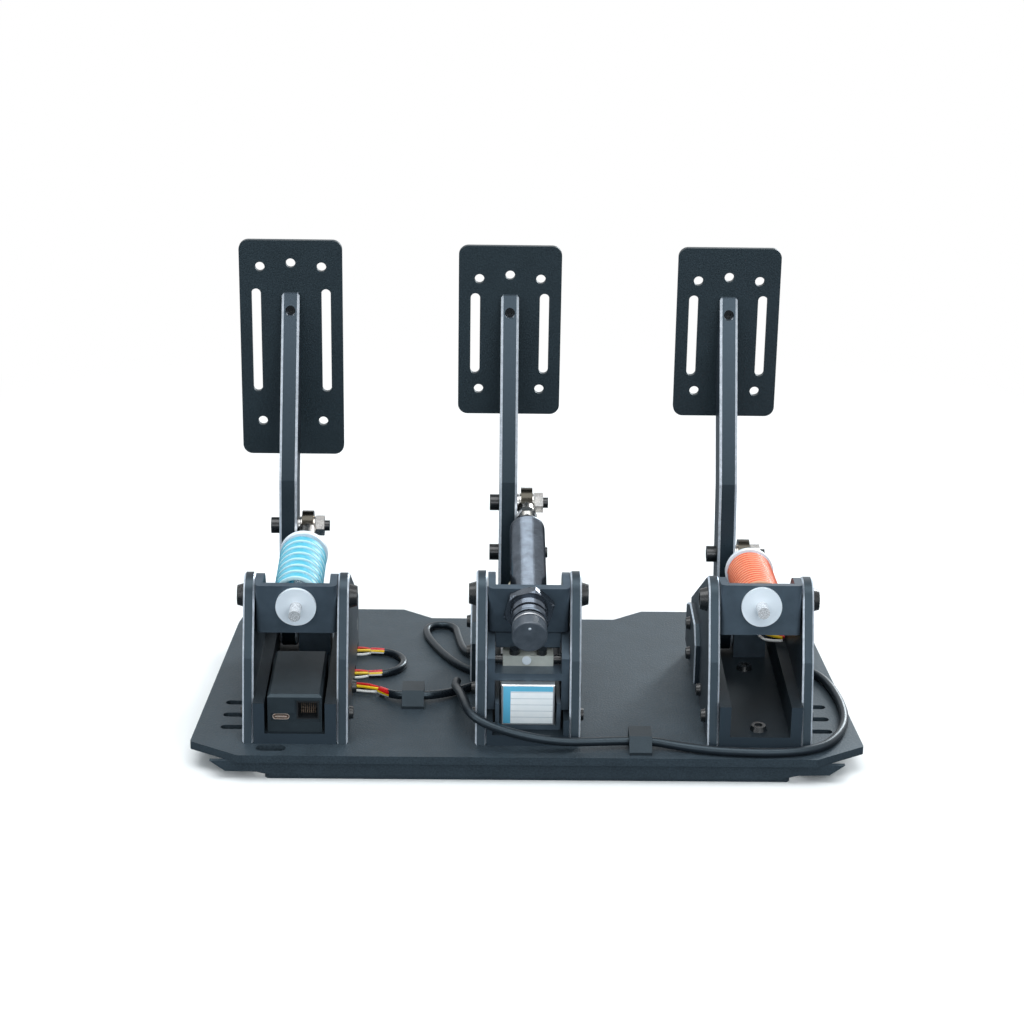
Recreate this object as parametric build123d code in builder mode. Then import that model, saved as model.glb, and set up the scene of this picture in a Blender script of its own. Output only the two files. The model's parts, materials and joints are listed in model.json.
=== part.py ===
from build123d import *
from math import atan2, cos, hypot, pi, radians, sin, tan
import os

os.makedirs("parts", exist_ok=True)

# Frame: +X to the driver's right, +Y away from the driver, +Z up.
# The origin is under the middle of the base, on the surface that the set stands on.

# Base
base_width = 359.0
base_depth = 196.0
base_thick = 4.5
base_corner = 1.5
foot_thick = 2.0
foot_width = 303.0
foot_front_inset = 14.0
foot_rear_inset = 3.5
rail_height = 8.5
rail_thick = 2.5
rail_rear_inset = 2.5
rail_front_inset = 24.0
# Half of the base outline, from the rear middle to the front: shares of the half width and of the depth
base_outline_shares = (
    (0.852, 0.5), (1.0, 0.416), (0.936, -0.39), (0.928, -0.431),
    (0.58, -0.5), (0.396, -0.5), (0.301, -0.436),
)
# Half of the rail outline: shares of the half width and of the rail height
rail_outline_shares = ((0.746, 0.0), (0.80, 0.27), (0.891, 0.30), (0.936, 1.0))
adjust_slot_width = 5.0
adjust_slot_tip = 165.0
adjust_slot_length = 54.0
adjust_slot_pitch = 15.3
adjust_slot_rear = 35.3
front_slot_tip = 155.0
front_slot_rear = 142.5
rig_slot_width = 6.4
rig_slot_length = 16.0
rig_slot_spacing = 272.0
rig_slot_inset = 9.0
rig_access_width = 8.0
rig_access_length = 18.0

plate_top = foot_thick + rail_height + base_thick
half_width = base_width / 2
rear_edge = base_depth / 2

# Pedal units
unit_pitch = 123.6
unit_width = 56.0
unit_length = 126.5
unit_rear_inset = 14.0
side_thick = 6.0
side_chamfer = 0.9
leg_thick = 6.0
leg_height = 23.5
brake_leg_thick = 3.2
brake_leg_height = 15.0
leg_nose_height = 31.0
leg_nose_length = 30.0
floor_thick = 6.0
knee_back = 12.0
knee_height = 44.0
nose_height = 34.0
hinge_back = 114.5
hinge_height = 20.0
pivot_back = 37.0
pivot_height = 70.0
brake_pivot_height = 72.0
ear_radius = 12.5
lead_hole_radius = 3.8
lead_height = 3.2

throttle_x = unit_pitch
brake_x = 0.0
clutch_x = -unit_pitch
unit_rear = rear_edge - unit_rear_inset
unit_front = unit_rear - unit_length
inner_half = unit_width / 2 - side_thick
hinge = (unit_rear - hinge_back, plate_top + hinge_height)
floor_top = plate_top + floor_thick

# Screws and bolts
side_screw_radius = 2.0
side_screw_head = 3.8
side_screw_rise = 2.2
side_screw_low = 9.0
side_screw_places_shares = (0.16, 0.42)
floor_screw_radius = 2.5
floor_screw_head = 4.6
floor_screw_rise = 2.6
floor_screw_rear = 10.0
floor_screw_front = 88.0
pivot_bolt_radius = 4.0
pivot_bolt_head = 6.6
pivot_bolt_rise = 4.0
socket_depth_share = 0.55
socket_share = 0.48
axle_radius = 4.0
running_gap = 0.05
fit_gap = 0.3
loose_gap = 0.8

# Hinge covers
cover_thick = 3.0
cover_chamfer = 0.8
cover_back = 62.5
cover_front = 121.5
cover_low = 8.0
cover_mid = 31.0
cover_high = 40.0
cover_slope = 10.0
cover_nose = 32.0
cover_screw_places = ((91.5, 13.8), (97.1, 29.7))

# Pedal arms
arm_x = 10.5
arm_thick = 10.0
bar_width = 25.0
lower_lean = 11.6
upper_lean = 24.5
knee_along = 82.7
arm_height = 181.0
arm_chamfer = 1.3
face_forward = 51.3
bush_radius = 6.0
bush_reach = 0.3
throttle_link_height = 55.5
clutch_link_height = 41.5
brake_damper_height = 69.5
brake_link_height = 41.5
link_bolt_radius = 3.0
link_bolt_head = 4.6
link_bolt_rise = 5.3
link_bolt_tail = 12.2
link_nut_width = 10.0
link_nut_thick = 5.0
link_nut_gap = 4.3
link_spacer_radius = 5.0
arm_screw_radius = 1.6
arm_screw_head = 2.6
arm_screw_rise = 2.4
arm_screw_height = 172.0

# Face plates
face_thick = 3.0
face_width = 58.0
face_corner = 5.5
face_hole = 2.7
face_slot_width = 5.3
throttle_face_low = 104.4
throttle_face_high = 231.0
throttle_face_holes = ((34.6, 215.7), (34.6, 124.4))
throttle_face_middle = 217.9
throttle_face_slots = (39.4, 142.1, 202.9)
short_face_low = 130.0
short_face_high = 229.0
short_face_holes = ((34.6, 210.0), (34.6, 145.0))
short_face_middle = 212.2
short_face_slots = (39.1, 154.1, 201.5)

# Tilting brackets that carry the struts
bracket_thick = 4.0
bracket_side_gap = 0.3
bracket_ear = 11.8
bracket_back = 12.5
bracket_rise = 11.5
bracket_drop = 16.0
bracket_bend = 3.0
bush_flange_radius = 10.75
bush_flange_thick = 2.0
bush_spigot_radius = 6.0
bush_spigot_length = 5.0

# Spring struts
rod_radius = 3.15
rod_tail = 10.5
spring_gap = 0.35
spring_length = 57.5
spring_radius = 11.4
throttle_wire = 1.65
throttle_turns = 7
clutch_wire = 1.05
clutch_turns = 14
cup_radius = 13.3
cup_thick = 4.5
cup_spigot = 8.6
cup_spigot_length = 5.0
cup_nut_width = 10.0
cup_nut_thick = 4.0
eye_radius = 8.5
eye_width = 6.4
eye_bore = 6.4
liner_thick = 1.1
ball_width = 8.0
open_pivot_gap = 0.85
shank_radius = 5.0
shank_end = 24.0
lock_nut_thick = 4.0
lock_nut_width = 10.0

# Brake damper
damper_radius = 9.85
damper_reach = 26.5
damper_dome = 3.0
damper_tail = 27.5
damper_bore_depth = 48.0
piston_radius = 4.0
piston_hold = 32.0
short_shank_end = 13.0
damper_nut_width = 24.4
damper_nut_thick = 5.5
damper_groove = 1.2
damper_groove_width = 2.0
damper_groove_back = 22.0
spindle_radius = 2.5
spindle_length = 9.0
knob_radius = 9.3
knob_gap = 0.6
knob_length = 12.6
knob_bore_depth = 9.4
knob_flutes = 18
knob_flute_radius = 0.5

# Brake link, block and elastomers
block_pivot_back = 34.5
block_pivot_height = 48.0
block_half = 17.4
block_low = 4.2
block_high = 5.4
block_rear = 5.6
block_front = 8.0
block_boss_radius = 8.0
block_boss_length = 12.0
block_pin_radius = 3.0
block_chamfer = 0.8
elastomer_radius = 12.0
elastomer_bore = 4.0
elastomer_thick = 10.4
elastomer_count = 3
elastomer_round = 1.5
link_rod_radius = 3.0
link_collar_radius = 10.0
link_collar_thick = 2.5

# Load cell, its cradle and the yoke over it
cell_width = 28.4
cell_length = 62.0
cell_rear_inset = 7.5
cell_high = 32.0
cell_hole_radius = 6.0
cell_hole_pitch = 15.0
cell_chamfer = 0.6
cradle_inner = 30.6
cradle_wall = 2.1
cradle_floor = 2.4
cradle_high = 21.0
yoke_thick = 4.0
yoke_outer_gap = 0.25
yoke_low = 15.3
yoke_rear_inset = 12.5
yoke_rear_high = 45.0
yoke_front_inset = 44.5
yoke_ear = 6.2
crossbar_thick = 4.0
crossbar_length = 24.0
yoke_nut_radius = 4.0
bar_half = 13.5
bar_rear_inset = 22.5
bar_length = 14.0
bar_high = 42.1
bar_bolt_spacing = 14.6
bar_bolt_radius = 2.5
bar_bolt_head = 2.8
bar_bolt_rise = 3.0
bar_bolt_inset = 3.0
cell_spacer_radius = 2.6

# Angle sensor housings
sensor_half_low = 13.2
sensor_rear = 11.0
sensor_front = 11.0
sensor_high = 35.0
sensor_chamfer = 1.2

# Controller box in the throttle unit
case_width = 28.8
case_length = 58.0
case_rear_inset = 2.5
case_high = 24.4
lid_thick = 3.0
lid_chamfer = 1.4
port_recess = 1.0
usb_width = 9.0
usb_height = 3.3
usb_depth = 7.4
usb_x = 7.4
usb_z = 14.4
usb_wall = 0.4
jack_width = 11.9
jack_height = 10.6
jack_depth = 14.0
jack_x = -6.9
jack_low = 12.9
jack_margin = 0.8

# Leads and clips
lead_radius = 2.4
thin_lead_radius = 2.1
wire_bundle_radius = 1.7
clip_width = 12.0
clip_length = 19.0
clip_pad = 1.6
clip_high = 9.0
clip_wall = 1.9
clip_bore_inset = 9.0
harness_clip = (62.2, 40.0)
long_clip = (-59.6, 94.5)

overrun = 20.0
half_turn = 180.0
full_turn = 360.0
hex_turn = 30.0


def save(piece, name):
    piece.part.label = name
    export_step(piece.part, f"parts/{name}.step")


def side(x):
    """Side view at x: the sketch's first axis is +Y, its second is +Z."""
    return Plane(origin=(x, 0, 0), x_dir=(0, 1, 0), z_dir=(1, 0, 0))


def rear_view(y):
    """View from the driver's side at y: the first axis is +X, the second is +Z."""
    return Plane(origin=(0, y, 0), x_dir=(1, 0, 0), z_dir=(0, -1, 0))


class Strut:
    """The line from a pivot in the unit to an eye on the arm, in the side view."""

    def __init__(self, x, eye, pivot):
        self.x = x
        self.eye = eye
        self.pivot = pivot
        self.length = hypot(pivot[0] - eye[0], eye[1] - pivot[1])
        self.angle = atan2(eye[1] - pivot[1], pivot[0] - eye[0])

    def point(self, along, up=0.0):
        """Side-view place at a distance along the strut from its pivot, and up from its line."""
        y = self.pivot[0] - along * cos(self.angle) + up * sin(self.angle)
        z = self.pivot[1] + along * sin(self.angle) + up * cos(self.angle)
        return (y, z)

    def across(self, along):
        """Plane square to the strut, facing the eye."""
        y, z = self.point(along)
        return Plane(origin=(self.x, y, z), x_dir=(1, 0, 0), z_dir=(0, -cos(self.angle), sin(self.angle)))

    def beside(self, offset=0.0):
        """Plane along the strut: the first axis runs to the eye, the second runs up."""
        origin = (self.x + offset, self.pivot[0], self.pivot[1])
        return Plane(origin=origin, x_dir=(0, -cos(self.angle), sin(self.angle)), z_dir=(-1, 0, 0))


def on_arm(height):
    """Side-view place on the centre line of the arm's lower bar, at a height over the hinge."""
    return (hinge[0] - height * tan(radians(lower_lean)), hinge[1] + height)


throttle_strut = Strut(
    throttle_x, on_arm(throttle_link_height), (unit_rear - pivot_back, plate_top + pivot_height)
)
clutch_strut = Strut(clutch_x, on_arm(clutch_link_height), (unit_rear - pivot_back, plate_top + pivot_height))
damper_strut = Strut(
    brake_x, on_arm(brake_damper_height), (unit_rear - pivot_back, plate_top + brake_pivot_height)
)
link_strut = Strut(
    brake_x, on_arm(brake_link_height), (unit_rear - block_pivot_back, plate_top + block_pivot_height)
)

# Base plate: one cut sheet with slots for shifting the units and for bolting the set to a rig
slot_rows = [unit_rear - adjust_slot_rear + (1 - row) * adjust_slot_pitch for row in range(3)]
slot_middle = adjust_slot_tip - adjust_slot_length / 2
front_slot_middle = front_slot_tip - adjust_slot_length / 2
rig_slot_y = rear_edge - rig_slot_inset
front_slot_y = rear_edge - front_slot_rear
with BuildPart() as base_plate:
    with BuildSketch(Plane.XY.offset(plate_top - base_thick)) as outline:
        right = [(half_width * across, base_depth * along) for across, along in base_outline_shares]
        left = [(-x, y) for x, y in reversed(right)]
        with BuildLine():
            Polyline(*right, *left, close=True)
        make_face()
        fillet(outline.vertices(), base_corner)
        with Locations(*[(edge * slot_middle, y) for edge in (-1, 1) for y in slot_rows]):
            SlotOverall(adjust_slot_length, adjust_slot_width, mode=Mode.SUBTRACT)
        with Locations(*[(edge * front_slot_middle, front_slot_y) for edge in (-1, 1)]):
            SlotOverall(adjust_slot_length, adjust_slot_width, mode=Mode.SUBTRACT)
        with Locations((-rig_slot_spacing / 2, rig_slot_y), (rig_slot_spacing / 2, rig_slot_y)):
            SlotOverall(rig_slot_length, rig_slot_width, mode=Mode.SUBTRACT)
    extrude(amount=base_thick)
save(base_plate, "base_plate")

# Rails under the base, and the bottom plate that the set stands on
rail_ys = (rear_edge - rail_rear_inset, -rear_edge + rail_front_inset)
with BuildPart() as base_rails:
    for y in rail_ys:
        with BuildSketch(rear_view(y)):
            with BuildLine():
                right = [(half_width * x, foot_thick + rail_height * z) for x, z in rail_outline_shares]
                left = [(-x, z) for x, z in reversed(right)]
                Polyline(*right, *left, close=True)
            make_face()
        extrude(amount=rail_thick)
save(base_rails, "base_rails")

foot_depth = base_depth - foot_front_inset - foot_rear_inset
foot_y = rear_edge - foot_rear_inset - foot_depth / 2
with BuildPart() as bottom_plate:
    with BuildSketch() as outline:
        with Locations((0, foot_y)):
            Rectangle(foot_width, foot_depth)
        chamfer(outline.vertices(), foot_front_inset)
        with Locations((-rig_slot_spacing / 2, rig_slot_y), (rig_slot_spacing / 2, rig_slot_y)):
            SlotOverall(rig_access_length, rig_access_width, mode=Mode.SUBTRACT)
    extrude(amount=foot_thick)
save(bottom_plate, "bottom_plate")


# Pedal units: a U channel between two side plates
def make_channel(name, x, thick, height, half):
    with BuildPart() as channel:
        with BuildSketch(side(x - half)) as profile:
            nose_rear = unit_front + leg_nose_length
            with BuildLine():
                Polyline(
                    (unit_rear, plate_top), (unit_rear, plate_top + height), (nose_rear, plate_top + height),
                    (nose_rear - leg_nose_height + height, plate_top + leg_nose_height),
                    (unit_front, plate_top + leg_nose_height), (unit_front, plate_top), close=True,
                )
            make_face()
        extrude(amount=2 * half)
        with BuildSketch(rear_view(unit_rear + overrun)):
            with Locations((x, floor_top + overrun * 2)):
                Rectangle(2 * (half - thick), overrun * 4)
        extrude(amount=unit_length + 2 * overrun, mode=Mode.SUBTRACT)
        with Locations(Plane(origin=(x - half, hinge[0], hinge[1]), z_dir=(-1, 0, 0))):
            Hole(axle_radius + running_gap, 2 * half)
        for back in (floor_screw_rear, floor_screw_front):
            with Locations(Plane(origin=(x, unit_rear - back, floor_top), z_dir=(0, 0, 1))):
                Hole(floor_screw_radius + running_gap, floor_thick)
    save(channel, name)


make_channel("throttle_channel", throttle_x, leg_thick, leg_height, inner_half)
make_channel("brake_channel", brake_x, brake_leg_thick, brake_leg_height, inner_half)
make_channel("clutch_channel", clutch_x, leg_thick, leg_height, inner_half)

side_screw_backs = [unit_length * part for part in side_screw_places_shares]


def make_side(name, x, outward, pivot, lead_backs):
    inner = x + outward * inner_half
    low = min(inner, inner + outward * side_thick)
    with BuildPart() as plate:
        with BuildSketch(side(low)):
            with BuildLine():
                Polyline(
                    (unit_rear, plate_top), (unit_rear - knee_back, plate_top + knee_height),
                    (unit_front, plate_top + nose_height), (unit_front, plate_top), close=True,
                )
                CenterArc(pivot, ear_radius, 0, full_turn)
            make_hull()
        extrude(amount=side_thick)
        faces = plate.faces().filter_by(Axis.X)
        chamfer(faces.edges(), side_chamfer)
        holes = [(pivot, pivot_bolt_radius), (hinge, axle_radius)]
        for back in side_screw_backs:
            holes.append(((unit_rear - back, plate_top + side_screw_low), side_screw_radius))
        for place, radius in holes:
            with Locations(Plane(origin=(low + side_thick, place[0], place[1]), z_dir=(1, 0, 0))):
                Hole(radius + running_gap, side_thick)
        for back in lead_backs:
            with BuildSketch(side(low)):
                with Locations((unit_rear - back, plate_top + lead_height)):
                    SlotOverall(3 * lead_hole_radius, 2 * lead_hole_radius)
            extrude(amount=side_thick, mode=Mode.SUBTRACT)
    save(plate, name)


# Backs, from the unit's rear, at which the leads pass the side plates
sensor_lead_backs = (115.5, 84.0)
harness_lead_back = 67.6
brake_harness_back = 71.5
brake_loop_backs = (110.0, 86.7)
clutch_lead_back = 97.5
make_side("throttle_side_right", throttle_x, 1, throttle_strut.pivot, ())
make_side(
    "throttle_side_left", throttle_x, -1, throttle_strut.pivot, sensor_lead_backs + (harness_lead_back,)
)
make_side("brake_side_right", brake_x, 1, damper_strut.pivot, brake_loop_backs + (brake_harness_back,))
make_side("brake_side_left", brake_x, -1, damper_strut.pivot, ())
make_side("clutch_side_right", clutch_x, 1, clutch_strut.pivot, ())
make_side("clutch_side_left", clutch_x, -1, clutch_strut.pivot, (clutch_lead_back,))

unit_xs = (throttle_x, brake_x, clutch_x)
side_pairs = [(x, outward) for x in unit_xs for outward in (-1, 1)]
outer_half = unit_width / 2


# Button-head screws: each has a domed head with a hexagon socket
def button_screw(plane, head, rise, radius, length):
    with BuildSketch(plane) as disc:
        Circle(head)
    extrude(disc.sketch, amount=rise, taper=hex_turn * socket_depth_share)
    with BuildSketch(plane.offset(rise * (1 - socket_depth_share))) as socket:
        RegularPolygon(radius * socket_share * 2, 6)
    extrude(socket.sketch, amount=rise, mode=Mode.SUBTRACT)
    with BuildSketch(plane) as shank:
        Circle(radius)
    extrude(shank.sketch, amount=-length)


with BuildPart() as hinge_axles:
    for x in unit_xs:
        with BuildSketch(side(x - outer_half)):
            with Locations(hinge):
                Circle(axle_radius)
        extrude(amount=unit_width)
save(hinge_axles, "hinge_axles")

cover_rear = unit_rear - cover_back
cover_end = unit_rear - cover_front
with BuildPart() as hinge_covers:
    for x in unit_xs:
        with BuildSketch(side(x + outer_half)) as outline:
            with BuildLine():
                Polyline(
                    (cover_rear, plate_top + cover_low), (cover_rear, plate_top + cover_mid),
                    (cover_rear - cover_slope, plate_top + cover_high),
                    (cover_end + 2 * cover_slope, plate_top + cover_high),
                    (cover_end, plate_top + cover_nose), (cover_end, plate_top + cover_low), close=True,
                )
            make_face()
        plate = extrude(amount=cover_thick)
        chamfer(plate.faces().sort_by(Axis.X)[-1].edges(), cover_chamfer)
        for back, high in cover_screw_places:
            place = (x + outer_half + cover_thick, unit_rear - back, plate_top + high)
            with Locations(Plane(origin=place, z_dir=(1, 0, 0))):
                Hole(side_screw_radius + running_gap, cover_thick)
save(hinge_covers, "hinge_covers")


# Pedal arms: a bent bar cut off upright where the face plate lies on it
lean_low = radians(lower_lean)
lean_high = radians(upper_lean)
face_y = hinge[0] - face_forward


def arm_outline():
    half = bar_width / 2
    knee = (hinge[0] - knee_along * sin(lean_low), hinge[1] + knee_along * cos(lean_low))
    bend = (lean_low + lean_high) / 2
    reach = half / cos((lean_high - lean_low) / 2)
    rear_knee = (knee[0] + reach * cos(bend), knee[1] + reach * sin(bend))
    front_knee = (knee[0] - reach * cos(bend), knee[1] - reach * sin(bend))
    top = hinge[1] + arm_height
    rear_top = (rear_knee[0] - (top - rear_knee[1]) * tan(lean_high), top)
    face_low = (face_y, front_knee[1] + (front_knee[0] - face_y) / tan(lean_high))
    foot = (half * cos(lean_low), half * sin(lean_low))
    return [
        (hinge[0] + foot[0], hinge[1] + foot[1]), rear_knee, rear_top, (face_y, top), face_low, front_knee,
        (hinge[0] - foot[0], hinge[1] - foot[1]),
    ]


def make_arm(name, x, link_heights):
    low = x + arm_x - arm_thick / 2
    with BuildPart() as arm:
        with BuildSketch(side(low)):
            with BuildLine():
                Polyline(*arm_outline(), close=True)
            make_face()
            with Locations(hinge):
                Circle(bar_width / 2)
        extrude(amount=arm_thick)
        long_edges = arm.faces().filter_by(Axis.X).edges()
        chamfer(long_edges, arm_chamfer)
        holes = [(hinge, bush_radius)] + [(on_arm(height), link_bolt_radius) for height in link_heights]
        for place, radius in holes:
            with Locations(Plane(origin=(low + arm_thick, place[0], place[1]), z_dir=(1, 0, 0))):
                Hole(radius + running_gap, arm_thick)
        for height, radius, start in (
            (arm_screw_height, arm_screw_head + running_gap * 4, arm_screw_rise),
            (arm_screw_height, arm_screw_radius, 0),
        ):
            with BuildSketch(rear_view(face_y + start)):
                with Locations((x + arm_x, hinge[1] + height)):
                    Circle(radius + running_gap)
            extrude(amount=-overrun, mode=Mode.SUBTRACT)
    save(arm, name)


def make_face_plate(name, x, low, high, holes, middle, slots):
    with BuildPart() as face:
        with BuildSketch(rear_view(face_y - face_thick)) as outline:
            with Locations((x + arm_x, plate_top + (low + high) / 2)):
                RectangleRounded(face_width, high - low, face_corner)
            for spacing, height in holes:
                with Locations(*[(x + arm_x + edge * spacing / 2, plate_top + height) for edge in (-1, 1)]):
                    Circle(face_hole, mode=Mode.SUBTRACT)
            with Locations((x + arm_x, plate_top + middle)):
                Circle(face_hole, mode=Mode.SUBTRACT)
            spacing, bottom, top = slots
            for edge in (-1, 1):
                with Locations((x + arm_x + edge * spacing / 2, plate_top + (bottom + top) / 2)):
                    SlotOverall(top - bottom, face_slot_width, rotation=half_turn / 2, mode=Mode.SUBTRACT)
            with Locations((x + arm_x, hinge[1] + arm_screw_height)):
                Circle(arm_screw_radius + running_gap, mode=Mode.SUBTRACT)
        extrude(amount=-face_thick)
    save(face, name)


# Arm hardware: hinge bush, link bolt with its spacer and nut, and the screw that holds the face plate
def make_arm_bolts(name, x, link_heights):
    inner = x + arm_x - arm_thick / 2
    outer = inner + arm_thick
    with BuildPart() as bolts:
        with BuildSketch(side(inner - bush_reach)):
            with Locations(hinge):
                Circle(bush_radius)
                Circle(axle_radius + running_gap, mode=Mode.SUBTRACT)
        extrude(amount=arm_thick + 2 * bush_reach)
        for height in link_heights:
            place = on_arm(height)
            plane = Plane(origin=(outer, place[0], place[1]), z_dir=(1, 0, 0))
            with BuildSketch(plane):
                Circle(link_bolt_head)
            extrude(amount=link_bolt_rise)
            with BuildSketch(plane.offset(link_bolt_rise * (1 - socket_depth_share))):
                RegularPolygon(link_bolt_radius * socket_share * 2, 6)
            extrude(amount=link_bolt_rise, mode=Mode.SUBTRACT)
            with BuildSketch(plane):
                Circle(link_bolt_radius)
            extrude(amount=-(arm_x + arm_thick / 2 + link_bolt_tail))
            with BuildSketch(side(inner)):
                with Locations(place):
                    Circle(link_spacer_radius)
                    Circle(link_bolt_radius + running_gap, mode=Mode.SUBTRACT)
            extrude(amount=-(arm_x - arm_thick / 2 - link_nut_gap))
            with BuildSketch(side(x - link_nut_gap)):
                with Locations(place):
                    RegularPolygon(link_nut_width / 2, 6, major_radius=False)
                    Circle(link_bolt_radius + running_gap, mode=Mode.SUBTRACT)
            extrude(amount=-link_nut_thick)
        plane = rear_view(face_y + arm_screw_rise)
        with BuildSketch(plane):
            with Locations((x + arm_x, hinge[1] + arm_screw_height)):
                Circle(arm_screw_head)
        extrude(amount=-arm_screw_rise)
        with BuildSketch(plane.offset(-arm_screw_rise / 2)):
            with Locations((x + arm_x, hinge[1] + arm_screw_height)):
                RegularPolygon(arm_screw_radius * socket_share * 2, 6)
        extrude(amount=-arm_screw_rise, mode=Mode.SUBTRACT)
        with BuildSketch(plane):
            with Locations((x + arm_x, hinge[1] + arm_screw_height)):
                Circle(arm_screw_radius)
        extrude(amount=arm_screw_rise + face_thick)
    save(bolts, name)


damper_heights = (brake_damper_height, brake_link_height)
make_arm("throttle_arm", throttle_x, (throttle_link_height,))
make_arm("brake_arm", brake_x, damper_heights)
make_arm("clutch_arm", clutch_x, (clutch_link_height,))
make_arm_bolts("throttle_arm_bolts", throttle_x, (throttle_link_height,))
make_arm_bolts("brake_arm_bolts", brake_x, damper_heights)
make_arm_bolts("clutch_arm_bolts", clutch_x, (clutch_link_height,))
make_face_plate(
    "throttle_face_plate", throttle_x, throttle_face_low, throttle_face_high, throttle_face_holes,
    throttle_face_middle, throttle_face_slots,
)
for name, x in (("brake_face_plate", brake_x), ("clutch_face_plate", clutch_x)):
    make_face_plate(
        name, x, short_face_low, short_face_high, short_face_holes, short_face_middle, short_face_slots
    )

# Tilting brackets: a bent U that turns on the pivot bolts and carries a strut through its face
bracket_half = inner_half - bracket_side_gap


def make_bracket(name, strut, bore):
    with BuildPart() as bracket:
        with BuildSketch(strut.beside(bracket_half)):
            with BuildLine():
                CenterArc((0, 0), bracket_ear, 0, full_turn)
                Polyline(
                    (-bracket_back, bracket_rise), (-bracket_back + bracket_thick, bracket_rise),
                    (-bracket_back + bracket_thick, -bracket_drop), (-bracket_back, -bracket_drop),
                    close=True,
                )
            make_hull()
        extrude(amount=2 * bracket_half)
        rear = bracket.faces().filter_by(Plane(origin=(0, 0, 0), z_dir=strut.across(0).z_dir))
        back = rear.sort_by(Axis(origin=(0, 0, 0), direction=strut.across(0).z_dir))[0]
        upright = [edge for edge in back.edges() if abs(edge.tangent_at(0.5).X) < 0.5]
        fillet(upright, bracket_bend)
        with BuildSketch(strut.across(-bracket_back + bracket_thick)):
            Rectangle(2 * (bracket_half - bracket_thick), 4 * bracket_drop)
        extrude(amount=bracket_back + bracket_ear, mode=Mode.SUBTRACT)
        with BuildSketch(strut.across(-bracket_back)):
            Circle(bore + running_gap)
        extrude(amount=bracket_thick, mode=Mode.SUBTRACT)
        with Locations(Plane(origin=(strut.x, strut.pivot[0], strut.pivot[1]), z_dir=(1, 0, 0))):
            Hole(pivot_bolt_radius + running_gap, 2 * bracket_half)
    save(bracket, name)


def make_bush(name, strut):
    with BuildPart() as bush:
        with BuildSketch(strut.across(-bracket_back)) as flange:
            Circle(bush_flange_radius)
        extrude(amount=-bush_flange_thick)
        with BuildSketch(strut.across(-bracket_back)) as spigot:
            Circle(bush_spigot_radius)
        extrude(amount=bush_spigot_length)
        with BuildSketch(strut.across(-bracket_back - bush_flange_thick)):
            Circle(rod_radius + running_gap)
        extrude(amount=bush_flange_thick + bush_spigot_length, mode=Mode.SUBTRACT)
    save(bush, name)


# Springs: arcs in pairs along each quarter turn, joined without a corner, with flat end turns
def coil_path(strut, start, length, radius, wire, turns):
    steps = 4 * turns
    pitch = (length - 2 * wire) / turns

    def at_step(step):
        angle = step * half_turn / 2
        x = radius * cos(radians(angle))
        up = radius * sin(radians(angle))
        along = start + wire + pitch * step / 4
        y, z = strut.point(along, up)
        rise = pitch / (2 * radians(half_turn))
        e = strut.across(0).z_dir
        u = strut.across(0).y_dir
        tangent = Vector(-up, 0, 0) + u * x + e * rise
        return Vector(strut.x + x, y, z), tangent.normalized()

    return [at_step(step) for step in range(steps + 1)]


def make_spring(name, strut, wire, turns):
    start = -bracket_back + bracket_thick + spring_gap
    stations = coil_path(strut, start, spring_length, spring_radius, wire, turns)
    with BuildPart() as spring:
        with BuildLine() as coil:
            for (p, t), (q, s) in zip(stations, stations[1:]):
                gap = q - p
                along = t + s
                a = along.dot(along) - 4
                b = -2 * gap.dot(along)
                c = gap.dot(gap)
                reach = (-b - (b * b - 4 * a * c) ** 0.5) / (2 * a)
                middle = (p + t * reach + q - s * reach) * 0.5
                TangentArc(p, middle, tangent=t)
                TangentArc(middle, q, tangent=(q - s * reach - middle))
        first, tangent = stations[0]
        with BuildSketch(Plane(origin=first, z_dir=tangent)):
            Circle(wire)
        sweep(path=coil.line)
    turn = 4 * (stations[4][0] - stations[0][0]).length / 4
    print(name, "gap between turns", round(turn - 2 * wire, 2), "mm")
    save(spring, name)


spring_front = -bracket_back + bracket_thick + 2 * spring_gap + spring_length


def make_cup(name, strut):
    with BuildPart() as cup:
        with BuildSketch(strut.across(spring_front)):
            Circle(cup_radius)
        extrude(amount=cup_thick)
        with BuildSketch(strut.across(spring_front)):
            Circle(cup_spigot)
        extrude(amount=-cup_spigot_length)
        chamfer(cup.edges().filter_by(GeomType.CIRCLE).sort_by(SortBy.RADIUS)[-1], wall_chamfer)
        with BuildSketch(strut.across(spring_front - cup_spigot_length)):
            Circle(rod_radius + running_gap)
        extrude(amount=cup_spigot_length + cup_thick, mode=Mode.SUBTRACT)
    save(cup, name)


# Rod: slides in the bush, and carries the cup's nut and the lock nut of the rod end
def make_rod(name, strut, tail, radius, end, nuts):
    with BuildPart() as rod:
        with BuildSketch(strut.across(tail)):
            Circle(radius)
        extrude(amount=strut.length - eye_radius - tail)
        for start, width, thick in nuts:
            with BuildSketch(strut.across(start)):
                RegularPolygon(width / 2, 6, major_radius=False)
            extrude(amount=thick)
    save(rod, name)


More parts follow.
